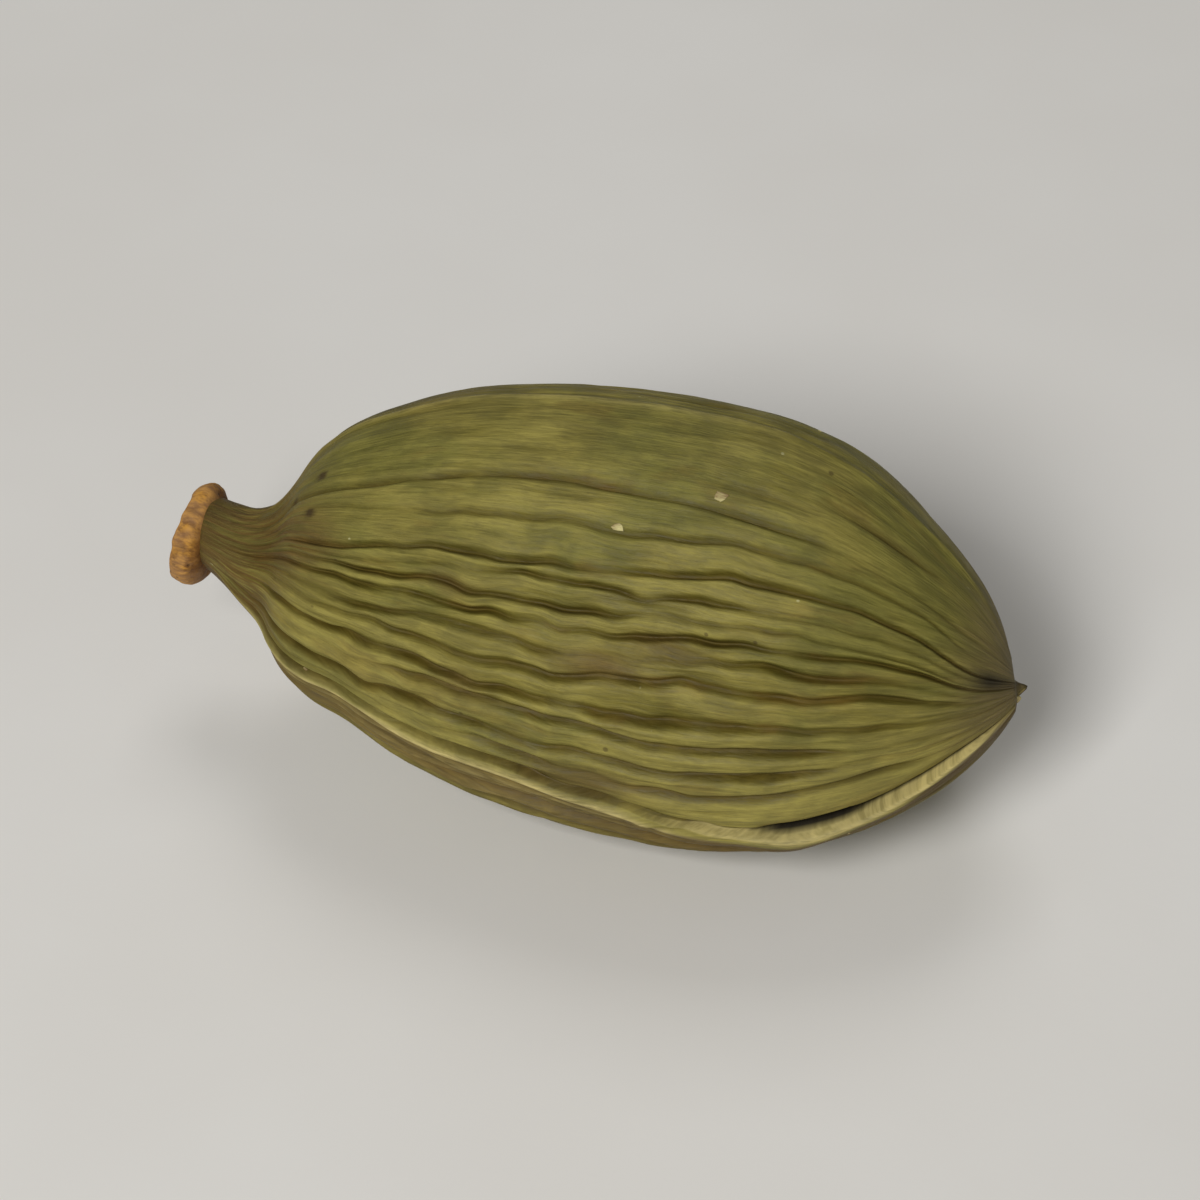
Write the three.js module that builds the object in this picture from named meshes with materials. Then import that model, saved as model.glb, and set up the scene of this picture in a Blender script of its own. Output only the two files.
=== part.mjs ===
// A dried green cardamom pod lying on its side, in millimetres, +Z up.
// The pod is one grown body: a three-sided husk with lengthwise ribs between creases, a keel along
// each of its three seams, a short neck that ends in the flared scar of the stalk at -X, and a
// small dry beak at +X. It rests on a small flat spot on its lowest face.
import * as THREE from 'three';
import { mergeVertices } from 'three/addons/utils/BufferGeometryUtils.js';

// Driving dimensions. A station is a distance along the pod from the rim of the stalk scar.
const LENGTH = 16.0;
const GIRTH_RADIUS = 3.93;
const WIDEST_STATION = 0.6 * LENGTH;
const FLAT_SPOT_TRIM = 0.3;

// The stalk scar: a flared rim round a hollow face, on a neck that widens into the husk.
const SCAR_RADIUS = 0.92;
const SCAR_THICKNESS = 0.55;
const SCAR_HOLLOW = 0.28;
const NECK_RADIUS = 0.68;
const NECK_STATION = 1.25;

// The husk's outline on each side of its widest station: radius = girth * (1 - v ^ roundness) ^ taper.
const HUSK_START = 0.113 * LENGTH;
const HUSK_END = LENGTH - 0.15;
const STALK_HALF = { roundness: 2.4, taper: 0.5 };
const BEAK_HALF = { roundness: 2.2, taper: 0.62 };
const SHOULDER_RADIUS = 1.25;
const SHOULDER_LENGTH = 2.2;

// The beak: the dry stub of the flower, at the far end. The husk's end slants back from the front keel.
const BEAK_LENGTH = 0.4;
const BEAK_RADIUS = 0.24;
const TIP_SLANT = { depth: 0.32, start: 0.8 * LENGTH };

// The cross-section: how far it is three-sided, where its first keel is, how far its middle line sags
// and dips at the neck, and the swelling of the shoulder. That is fullest under the neck, where the
// front keel springs from the scar, and a share of it goes all round.
const THREE_SIDED = 0.065;
const FRONT_KEEL_ANGLE = THREE.MathUtils.degToRad(-17);
const SAG = 0.08;
const NECK_DIP = { depth: 0.3, station: 1.4, halfLength: 1.2 };
const SHOULDER_SWELL = { height: 0.55, station: 2.2, halfLength: 1.9, halfWidth: 8, allRound: 0.22 };

// The relief round the pod, measured in ribs from the front keel. Each valve holds the same number.
const RIBS_IN_A_VALVE = 14;
const RIBS = 3 * RIBS_IN_A_VALVE;
const CREASE_DEPTH = 0.15;
const KEEL_HEIGHT = 0.17;
const KEEL_HALF_WIDTH = 0.5;

// Creases are shallow on the smooth band over the top, and both creases and keels die out where the
// husk narrows below a share of its girth.
const SMOOTH_BAND = { first: 11, last: 17, fadesBy: 22, share: 0.3 };
const CREASES_FADE_BELOW = 0.75;
const KEELS_FADE_BELOW = 0.4;

// Waves of a height, with their turns along the pod and round it: how creases wander, and how deep
// one is beside the next.
const CREASE_WANDER = [
  { height: 0.17, along: 1.1, around: 5 },
  { height: 0.1, along: 2.1, around: -8 },
];
const CREASE_VARIETY = [
  { height: 0.25, along: 0, around: 16 },
  { height: 0.2, along: 0.5, around: 35 },
];

// The seam just above the front keel has sprung open for part of its length.
const SPLIT = { rib: 2 / 3, halfWidth: 1 / 3, depth: 0.3, station: 0.785 * LENGTH, halfLength: 1.6 };

// How finely the surface is divided: columns in each rib, and rings in the husk.
const COLUMNS_IN_A_RIB = 3;
const HUSK_RINGS = 30;

const HUSK_COLOUR = 0x7d7531;

const { smoothstep, euclideanModulo, lerp } = THREE.MathUtils;

// The husk's mean radius at an angle from -90 degrees, inside the neck, to 90 degrees, at the beak.
function huskPoint(angle) {
  const share = Math.abs(Math.sin(angle));
  const half = angle < 0 ? STALK_HALF : BEAK_HALF;
  const reach = angle < 0 ? WIDEST_STATION - HUSK_START : HUSK_END - WIDEST_STATION;
  const station = WIDEST_STATION + Math.sign(angle) * share * reach;
  const radius = GIRTH_RADIUS * (1 - share ** half.roundness) ** half.taper;
  return new THREE.Vector2(radius, station);
}

// The outline from the middle of the stalk scar to the beak, as radius and station.
function podOutline() {
  const scarAndNeck = [
    new THREE.Vector2(0, SCAR_HOLLOW),
    new THREE.Vector2(SCAR_RADIUS * 0.55, SCAR_HOLLOW * 0.7),
    new THREE.Vector2(SCAR_RADIUS * 0.85, 0),
    new THREE.Vector2(SCAR_RADIUS, SCAR_THICKNESS * 0.3),
    new THREE.Vector2(SCAR_RADIUS * 0.96, SCAR_THICKNESS * 0.7),
    new THREE.Vector2(NECK_RADIUS * 1.1, SCAR_THICKNESS * 1.15),
    new THREE.Vector2(NECK_RADIUS, NECK_STATION),
    new THREE.Vector2(NECK_RADIUS * 1.2, NECK_STATION * 1.35),
  ];
  const husk = [];
  for (let ring = 0; ring <= HUSK_RINGS; ring++) {
    husk.push(huskPoint(lerp(-Math.PI / 2, Math.PI / 2, ring / HUSK_RINGS)));
  }
  const shown = husk.filter(({ x: radius, y: station }) =>
    radius > (station < WIDEST_STATION ? SHOULDER_RADIUS : 2 * BEAK_RADIUS),
  );
  const beak = [
    new THREE.Vector2(BEAK_RADIUS, LENGTH - BEAK_LENGTH * 0.4),
    new THREE.Vector2(BEAK_RADIUS * 0.7, LENGTH - BEAK_LENGTH * 0.05),
    new THREE.Vector2(0, LENGTH),
  ];
  return [...scarAndNeck, ...shown, ...beak];
}

// How fully the husk's own form shows at a station: 0 on the stalk scar, 1 on the husk.
function huskShare(station) {
  return smoothstep(station, NECK_STATION, NECK_STATION + SHOULDER_LENGTH);
}

// The sum of some waves at a place round the pod, in ribs, and at a station along it.
function waveSum(waves, rib, station) {
  const turn = (rib / RIBS) * 2 * Math.PI;
  return waves.reduce(
    (sum, { height, along, around }) => sum + height * Math.sin(along * station + around * turn),
    0,
  );
}

// The angle round the axis of a place given in ribs. 0 faces the front, and a quarter turn is up.
// Creases wander a little from side to side on their way along a valve, and its keels run straight.
function turnOf(rib, station) {
  const free = Math.sin((Math.PI * rib) / RIBS_IN_A_VALVE) ** 2;
  const drift = huskShare(station) * free * waveSum(CREASE_WANDER, rib, station);
  return FRONT_KEEL_ANGLE + ((rib + drift) / RIBS) * 2 * Math.PI;
}

// How deep the crease at a place is. There is none along a keel.
function creaseDepth(crease, station, radius) {
  const place = euclideanModulo(crease, RIBS);
  const { first, last, fadesBy, share } = SMOOTH_BAND;
  const band = smoothstep(place, first, first + 1) * (1 - smoothstep(place, last, fadesBy));
  const own = place % RIBS_IN_A_VALVE === 0 ? 0 : 1 + waveSum(CREASE_VARIETY, place, station);
  const ends = Math.min(1, radius / (CREASES_FADE_BELOW * GIRTH_RADIUS));
  return CREASE_DEPTH * (1 - (1 - share) * band) * own * ends;
}

// How far the surface stands out at a place: creases, the three keels and the sprung seam.
function relief(rib, station, radius) {
  const crease = Math.round(rib);
  const toCrest = 2 * Math.abs(rib - crease);
  const creased = creaseDepth(crease, station, radius) * (1 - toCrest) ** 2;
  const fromKeel = Math.abs(rib - RIBS_IN_A_VALVE * Math.round(rib / RIBS_IN_A_VALVE));
  const ends = Math.min(1, radius / (KEELS_FADE_BELOW * GIRTH_RADIUS));
  const keel = KEEL_HEIGHT * ends * Math.max(0, 1 - fromKeel / KEEL_HALF_WIDTH);
  const along = Math.abs(station - SPLIT.station) / SPLIT.halfLength;
  const fromSplit = Math.abs(euclideanModulo(rib, RIBS) - SPLIT.rib) / SPLIT.halfWidth;
  const split = SPLIT.depth * Math.max(0, 1 - along ** 2) * Math.max(0, 1 - fromSplit);
  return keel - creased - split;
}

// Swells smoothly from 0 at a distance of 1 on each side to 1 in the middle.
function bump(distance) {
  return Math.max(0, 1 - distance ** 2) ** 2;
}

// How far the shoulder under the neck swells at a place.
function shoulderSwell(rib, station) {
  const { height, station: middle, halfLength, halfWidth, allRound } = SHOULDER_SWELL;
  const across = bump((rib - RIBS * Math.round(rib / RIBS)) / halfWidth);
  return height * bump((station - middle) / halfLength) * lerp(allRound, 1, across);
}

// How far the pod's middle line lies under a straight one.
function sagAt(station) {
  const { depth, station: middle, halfLength } = NECK_DIP;
  return depth * bump((station - middle) / halfLength) + SAG * Math.sin((Math.PI * station) / LENGTH);
}

// The point of the surface at a place round the pod, for one point of the outline.
function podSurface(rib, { x: radius, y: station }) {
  const turn = turnOf(rib, station);
  const threeSided = THREE_SIDED * Math.cos(3 * (turn - FRONT_KEEL_ANGLE));
  const reach = radius * (1 + huskShare(station) * threeSided) + shoulderSwell(rib, station);
  const standsOut = huskShare(station + SHOULDER_LENGTH / 4) * relief(rib, station, radius);
  const fromFront = (1 - Math.cos(turn - FRONT_KEEL_ANGLE)) / 2;
  const slant = fromFront * smoothstep(station, TIP_SLANT.start, LENGTH) * Math.min(1, radius / BEAK_RADIUS);
  return new THREE.Vector3(
    station - TIP_SLANT.depth * slant - LENGTH / 2,
    -(reach + standsOut) * Math.cos(turn),
    -sagAt(station) + (reach + standsOut) * Math.sin(turn),
  );
}

// A lathe gives the rings and columns, and each of its points is moved onto the pod's surface.
function podGeometry() {
  const outline = podOutline();
  const lathe = new THREE.LatheGeometry(outline, RIBS * COLUMNS_IN_A_RIB);
  const position = lathe.getAttribute('position');
  for (let i = 0; i < position.count; i++) {
    const rib = RIBS - Math.floor(i / outline.length) / COLUMNS_IN_A_RIB;
    const point = podSurface(rib, outline[i % outline.length]);
    position.setXYZ(i, point.x, point.y, point.z);
  }
  return lathe;
}

// The lowest face is trimmed level, and the pod is set down on it, centred over the origin.
function setDown(geometry) {
  geometry.computeBoundingBox();
  const level = geometry.boundingBox.min.z + FLAT_SPOT_TRIM;
  const position = geometry.getAttribute('position');
  for (let i = 0; i < position.count; i++) {
    position.setZ(i, Math.max(position.getZ(i), level));
  }
  geometry.computeBoundingBox();
  const centre = geometry.boundingBox.getCenter(new THREE.Vector3());
  return geometry.translate(-centre.x, -centre.y, -level);
}

// The same surface with its shared points joined, which closes the lathe's seam and its two ends.
function joined(geometry) {
  geometry.deleteAttribute('normal');
  geometry.deleteAttribute('uv');
  const merged = mergeVertices(geometry, 1e-3);
  merged.computeVertexNormals();
  return merged;
}

const husk = new THREE.MeshStandardMaterial({ color: HUSK_COLOUR, roughness: 0.62, metalness: 0 });
const pod = new THREE.Mesh(joined(setDown(podGeometry())), husk);
pod.name = 'cardamom_pod';

const cardamomPod = new THREE.Group();
cardamomPod.add(pod);

export default cardamomPod;
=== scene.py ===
"""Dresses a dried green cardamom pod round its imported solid.

The pod is described the way it grew. A place on its skin is given in ribs round it, counted up from
the sprung seam at the front, and as a station along it, in millimetres from the rim of the stalk
scar. Every mesh is worked out in millimetres along the pod's own axis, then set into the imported
solid's box in metres.
"""

import logging
from dataclasses import dataclass, field
from enum import Enum

import bpy
import numpy as np
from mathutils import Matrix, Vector


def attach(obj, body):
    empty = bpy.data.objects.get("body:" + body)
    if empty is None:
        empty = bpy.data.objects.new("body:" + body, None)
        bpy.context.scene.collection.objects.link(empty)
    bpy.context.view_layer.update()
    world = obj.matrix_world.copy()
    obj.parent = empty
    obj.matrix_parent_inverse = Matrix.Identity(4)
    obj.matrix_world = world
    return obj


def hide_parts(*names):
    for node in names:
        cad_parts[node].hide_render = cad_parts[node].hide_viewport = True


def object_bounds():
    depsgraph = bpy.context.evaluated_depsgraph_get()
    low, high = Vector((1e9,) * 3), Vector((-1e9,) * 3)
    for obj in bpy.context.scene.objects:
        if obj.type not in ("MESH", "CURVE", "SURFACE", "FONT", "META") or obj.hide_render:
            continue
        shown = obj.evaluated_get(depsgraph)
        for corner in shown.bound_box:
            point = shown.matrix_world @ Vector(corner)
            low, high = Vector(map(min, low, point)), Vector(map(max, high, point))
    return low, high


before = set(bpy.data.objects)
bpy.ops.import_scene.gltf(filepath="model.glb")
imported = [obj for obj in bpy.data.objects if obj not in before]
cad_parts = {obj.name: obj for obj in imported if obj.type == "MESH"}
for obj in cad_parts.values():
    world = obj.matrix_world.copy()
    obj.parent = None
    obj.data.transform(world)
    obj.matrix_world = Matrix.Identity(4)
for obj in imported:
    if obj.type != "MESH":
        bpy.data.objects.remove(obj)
PACKED_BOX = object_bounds()

log = logging.getLogger("cardamom_pod")

Field = np.ndarray
Colour = tuple[float, float, float]

POD_NODE = "cardamom_pod"
BODY = "root"

MM = 0.001
BEYOND_TIP = 16.5
FULL_TURN = 2.0 * np.pi
RIBS_IN_A_VALVE = 14
RIBS = 3 * RIBS_IN_A_VALVE


class Mask(Enum):
    """The point attributes that the husk's mesh carries for its material."""

    GROWN = "grown"
    # Paler on the crests, partly as painted highlight, and darker in the valleys as painted shade.
    CREST_LIGHT = "crest"
    # Painted shade in the creases and hollows.
    CREASE = "crease"
    SEAM = "seam"
    # Brown stains, and the face under the open seam, brown and painted shade.
    BROWN_AND_UNDER_SEAM_SHADE = "lip_face"
    # Painted shade inside the crack and in a small pit.
    GAP_SHADE = "gap"
    SPOT = "spot"
    # The husk's brown neck, and painted shade on the scar's side against the neck.
    NECK_BROWN_AND_SCAR_SHADE = "neck"
    TIP = "tip"


class Blend(Enum):
    """How one colour goes over another."""

    MIX = "MIX"
    MULTIPLY = "MULTIPLY"


def smooth(value: Field, low: float, high: float) -> Field:
    """Steps smoothly from 0 to 1 as a value goes from low to high."""
    share = np.clip((value - low) / (high - low), 0.0, 1.0)
    return share * share * (3.0 - 2.0 * share)


def mound(value: Field, middle: float, half_width: float) -> Field:
    """Rises to 1 at the middle and dies away over about two half widths."""
    return np.exp(-(((value - middle) / half_width) ** 2))


def bump(distance: Field) -> Field:
    """Swells smoothly from 0 at a distance of 1 on each side to 1 in the middle."""
    return np.clip(1.0 - distance**2, 0.0, 1.0) ** 2


def between(ends: tuple[float, float], share: Field) -> Field:
    """Goes from the first of two values to the second as a share goes from 0 to 1."""
    return ends[0] + (ends[1] - ends[0]) * share


def ribs_from(rib: Field, seam: float) -> Field:
    """Counts the ribs from a seam the short way round, negative below it."""
    return (rib - seam + RIBS / 2) % RIBS - RIBS / 2


def softened(values: Field, width: int) -> Field:
    """Averages each row over a window, so that it turns without corners.

    Args:
        values: The rows.
        width: How many values the window takes in, an odd number.

    Returns:
        The softened rows.
    """
    window = np.hanning(width + 2)[1:-1]
    padded = np.pad(values, ((0, 0), (width // 2, width // 2)), mode="edge")
    return np.array([np.convolve(row, window / window.sum(), mode="valid") for row in padded])


def eased_through(points: Field, count: int) -> Field:
    """Runs a smooth curve through some points and divides it evenly.

    Args:
        points: The points, one in each row.
        count: How many points the curve is divided into.

    Returns:
        The evenly spaced points, one in each row.
    """
    knots = np.concatenate([[0.0], np.cumsum(np.linalg.norm(np.diff(points, axis=0), axis=1))])
    slopes = np.gradient(points, knots, axis=0)
    fine = np.linspace(0.0, knots[-1], 12 * len(points))
    left = np.clip(np.searchsorted(knots, fine, side="right") - 1, 0, len(knots) - 2)
    gap = (knots[left + 1] - knots[left])[:, None]
    u = (fine - knots[left])[:, None] / gap
    curve = (
        (2 * u**3 - 3 * u**2 + 1) * points[left]
        + (u**3 - 2 * u**2 + u) * gap * slopes[left]
        + (3 * u**2 - 2 * u**3) * points[left + 1]
        + (u**3 - u**2) * gap * slopes[left + 1]
    )
    along = np.concatenate([[0.0], np.cumsum(np.linalg.norm(np.diff(curve, axis=0), axis=1))])
    even = np.linspace(0.0, along[-1], count)
    return np.stack([np.interp(even, along, column) for column in curve.T], axis=1)


@dataclass(frozen=True)
class Ripple:
    """Seeded unevenness from -1 to 1, on a grid of cells round and along the pod.

    Attributes:
        around: How many cells go round the pod. A cell starts on rib 0.
        spacing: The length of a cell along the pod, in millimetres.
        seed: What the heights are drawn from.
    """

    around: int
    spacing: float
    seed: int

    def at(self, rib: Field, station: Field) -> Field:
        """Reads the unevenness at some places.

        Args:
            rib: The ribs round the pod.
            station: The stations along it.

        Returns:
            A height from -1 to 1 for each place.
        """
        cells = int(30.0 / self.spacing)
        grid = np.random.default_rng(self.seed).uniform(-1.0, 1.0, (self.around, cells))
        across, along = rib / RIBS * self.around, station / self.spacing + 1.0
        i, j = np.floor(across).astype(int), np.floor(along).astype(int)
        u, v = smooth(across - i, 0.0, 1.0), smooth(along - j, 0.0, 1.0)
        low = grid[i % self.around, j] * (1 - u) + grid[(i + 1) % self.around, j] * u
        high = grid[i % self.around, j + 1] * (1 - u) + grid[(i + 1) % self.around, j + 1] * u
        return low * (1 - v) + high * v

    def pleats(self, rib: Field, station: Field) -> Field:
        """Reads the unevenness folded over, so that it has sharp ridges and round hollows."""
        return 1.0 - 2.4 * np.abs(self.at(rib, station))


@dataclass(frozen=True)
class Wave:
    """A wave over the skin: its height, its turns along the pod and its turns round it."""

    height: float
    along: float
    around: float

    def at(self, rib: Field, station: Field) -> Field:
        """Reads the wave at some places."""
        return self.height * np.sin(self.along * station + self.around * rib / RIBS * FULL_TURN)


@dataclass(frozen=True)
class Wrinkle:
    """A short crease of its own, beside the regular ones.

    Attributes:
        rib: Where it lies round the pod.
        start: The station where it begins.
        end: The station where it ends.
        depth: How deep it is, in millimetres.
        half_width: How far it reaches to each side, in ribs.
    """

    rib: float
    start: float
    end: float
    depth: float
    half_width: float

    def at(self, rib: Field, station: Field) -> Field:
        """Gives the share of its depth at some places, 1 along its middle."""
        middle, half = (self.start + self.end) / 2, (self.end - self.start) / 2
        along = np.clip(1.0 - ((station - middle) / half) ** 2, 0.0, 1.0)
        return mound(ribs_from(rib, self.rib), 0.0, self.half_width) * along


@dataclass(frozen=True)
class SeamRidge:
    """A fine ridge that runs beside the front seam's keel.

    Attributes:
        offset: How many straight ribs above the keel it runs.
        height: How high it stands, in millimetres.
        half_width: How far it reaches to each side, in ribs.
        paleness: How pale its crest is, from 0 to 1.
        unevenness: What moves it from side to side and makes it come and go.
    """

    offset: float
    height: float
    half_width: float
    paleness: float
    unevenness: Ripple

    def at(self, from_keel: Field, station: Field) -> Field:
        """Gives the share of its height at some places, 1 along its crest."""
        sway = self.unevenness.at(0.0 * station, station)
        strength = np.clip(0.75 + 0.6 * self.unevenness.at(0.0 * station + 21.0, station), 0.0, 1.2)
        return strength * mound(from_keel, self.offset + 0.1 * sway, self.half_width)


@dataclass(frozen=True)
class SeenCrease:
    """A crease of the front valve, followed along the pod.

    Attributes:
        path: How many straight ribs above the front seam it runs, at each of the map's stops.
        depth: How deep it is beside the usual depth.
        faint: The stretches where it nearly dies out, each from one station to another.
        keeps: The share of its depth that it keeps there.
        fading: How far it takes to fade, to each side of a stretch's end.
    """

    path: tuple[float, ...]
    depth: float
    faint: tuple[tuple[float, float], ...] = ()
    keeps: float = 0.25
    fading: float = 0.6

    def share_at(self, station: Field) -> Field:
        """Gives its share of the usual depth at some stations."""
        share = self.depth + 0.0 * station
        for start, end in self.faint:
            begun = smooth(station, start - self.fading, start + self.fading)
            ended = smooth(station, end - self.fading, end + self.fading)
            share = share * (1.0 - (1.0 - self.keeps) * begun * (1.0 - ended))
        return share


@dataclass(frozen=True)
class RibMap:
    """Where each of the pod's creases runs, and how deep it is on its way.

    Crease 0 is the front seam's keel, and crease 1 is the line where that seam has sprung open.
    The other two valves have straight creases, with depths drawn at random.
    """

    stops: tuple[float, ...] = (3.5, 4.5, 5.5, 6.5, 7.5, 8.5, 9.5, 10.5, 11.5, 12.5, 13.5, 14.3, 15.2)
    front: tuple[SeenCrease, ...] = (
        SeenCrease(
            (1.05, 1.08, 0.93, 0.98, 1.0, 0.7, 0.5, -0.1, -0.5, -0.65, -0.5, 0.0, 0.9),
            0.0,
        ),
        SeenCrease(
            (1.25, 1.3, 1.15, 1.2, 1.22, 0.92, 0.75, 0.3, 0.03, -0.08, 0.1, 0.6, 1.4),
            0.9,
        ),
        SeenCrease(
            (1.62, 1.7, 1.65, 1.85, 1.73, 1.61, 1.43, 1.41, 1.46, 1.61, 1.83, 2.0, 1.95),
            1.0, ((0.0, 6.9), (14.1, 16.0)),
        ),
        SeenCrease(
            (2.01, 2.21, 2.41, 2.28, 2.16, 2.26, 2.21, 2.13, 2.18, 2.23, 2.58, 2.7, 2.5),
            1.25, ((12.7, 16.0),),
        ),
        SeenCrease(
            (2.88, 3.13, 3.34, 3.24, 3.14, 3.29, 3.01, 3.01, 3.06, 3.11, 3.09, 3.2, 3.1),
            1.05, ((0.0, 5.1), (13.1, 16.0)),
        ),
        SeenCrease(
            (3.56, 3.88, 3.83, 3.71, 3.68, 3.83, 3.71, 3.86, 3.86, 3.88, 4.01, 3.95, 3.75),
            1.1, ((13.9, 16.0),),
        ),
        SeenCrease(
            (4.61, 4.68, 4.53, 4.56, 4.53, 4.76, 4.83, 5.09, 5.01, 5.01, 5.21, 5.2, 4.7),
            0.95, ((0.0, 4.6), (14.9, 16.0)),
        ),
        SeenCrease(
            (5.2, 5.16, 5.49, 5.39, 5.29, 5.35, 5.5, 5.8, 6.02, 5.86, 5.96, 5.85, 5.2),
            0.9, ((0.0, 3.9), (8.1, 11.4), (13.4, 16.0)),
        ),
        SeenCrease(
            (6.01, 6.12, 6.18, 6.01, 6.01, 6.08, 6.08, 6.51, 6.61, 6.56, 6.76, 6.6, 5.65),
            1.0, ((7.1, 8.3),),
        ),
        SeenCrease(
            (6.64, 6.56, 6.8, 6.78, 6.63, 6.78, 6.94, 7.09, 7.24, 7.19, 7.14, 7.0, 6.05),
            1.0, ((0.0, 3.8), (9.0, 16.0)),
        ),
        SeenCrease(
            (7.02, 7.17, 7.37, 7.57, 7.75, 7.68, 7.43, 7.71, 7.93, 7.93, 7.73, 7.5, 6.4),
            0.95, ((0.0, 7.0), (11.1, 16.0)),
        ),
        SeenCrease(
            (7.44, 7.77, 8.02, 8.04, 8.14, 8.24, 8.32, 8.6, 8.8, 8.78, 8.58, 8.2, 6.75),
            0.8, ((8.0, 9.2),),
        ),
        SeenCrease(
            (9.32, 9.32, 9.32, 9.42, 9.52, 9.42, 9.49, 9.62, 9.84, 9.7, 9.68, 9.4, 8.2),
            0.5, ((0.0, 5.0), (14.7, 16.0)),
        ),
        SeenCrease(
            (10.17, 10.4, 10.63, 10.76, 10.87, 10.77, 10.69, 10.67, 10.57, 10.5, 10.4, 10.2, 9.5),
            0.7, ((11.9, 16.0),),
        ),
    )
    step: float = 0.05
    window: int = 19
    other_shares: tuple[float, float] = (0.5, 1.15)
    behind_top_shares: tuple[float, float] = (0.25, 0.9)
    behind_top: int = 7
    seed: int = 8

    def tables(self) -> tuple[Field, Field]:
        """Works out every crease's path and depth share at each step along the pod.

        Returns:
            The paths in straight ribs and the shares, a row for each crease from 0 to RIBS.
        """
        stations = np.arange(0.0, BEYOND_TIP, self.step)
        straight = np.arange(RIBS + 1.0)[:, None] + 0.0 * stations
        draw = np.random.default_rng(self.seed)
        shares = draw.uniform(*self.other_shares, (RIBS + 1, 1)) + 0.0 * straight
        # The creases just behind the top keel are faint, and deepen on the way down.
        first = RIBS_IN_A_VALVE + 1
        deepening = np.linspace(*self.behind_top_shares, self.behind_top)
        shares[first : first + self.behind_top] *= deepening[:, None]
        for row, crease in enumerate(self.front):
            straight[row] = np.interp(stations, self.stops, crease.path)
            shares[row] = crease.share_at(stations)
        low = 2 * RIBS_IN_A_VALVE
        nearness = ((np.arange(low, RIBS + 1) - low) / RIBS_IN_A_VALVE)[:, None] ** 2
        straight[low:] += nearness * straight[0]
        shares[::RIBS_IN_A_VALVE] = 0.0
        return softened(straight, self.window), softened(shares, self.window)

    def read(self, table: Field, rib: Field, station: Field) -> Field:
        """Reads one of the tables between its rows and its steps.

        Args:
            table: The table.
            rib: The ribs, counted by crease.
            station: The stations.

        Returns:
            The value at each place.
        """
        across = np.clip(rib % RIBS, 0.0, RIBS)
        along = np.clip(station / self.step, 0.0, table.shape[1] - 1.001)
        i, j = np.minimum(across.astype(int), RIBS - 1), along.astype(int)
        u, v = across - i, along - j
        near = table[i, j] * (1 - v) + table[i, j + 1] * v
        far = table[i + 1, j] * (1 - v) + table[i + 1, j + 1] * v
        return near * (1 - u) + far * u


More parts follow.
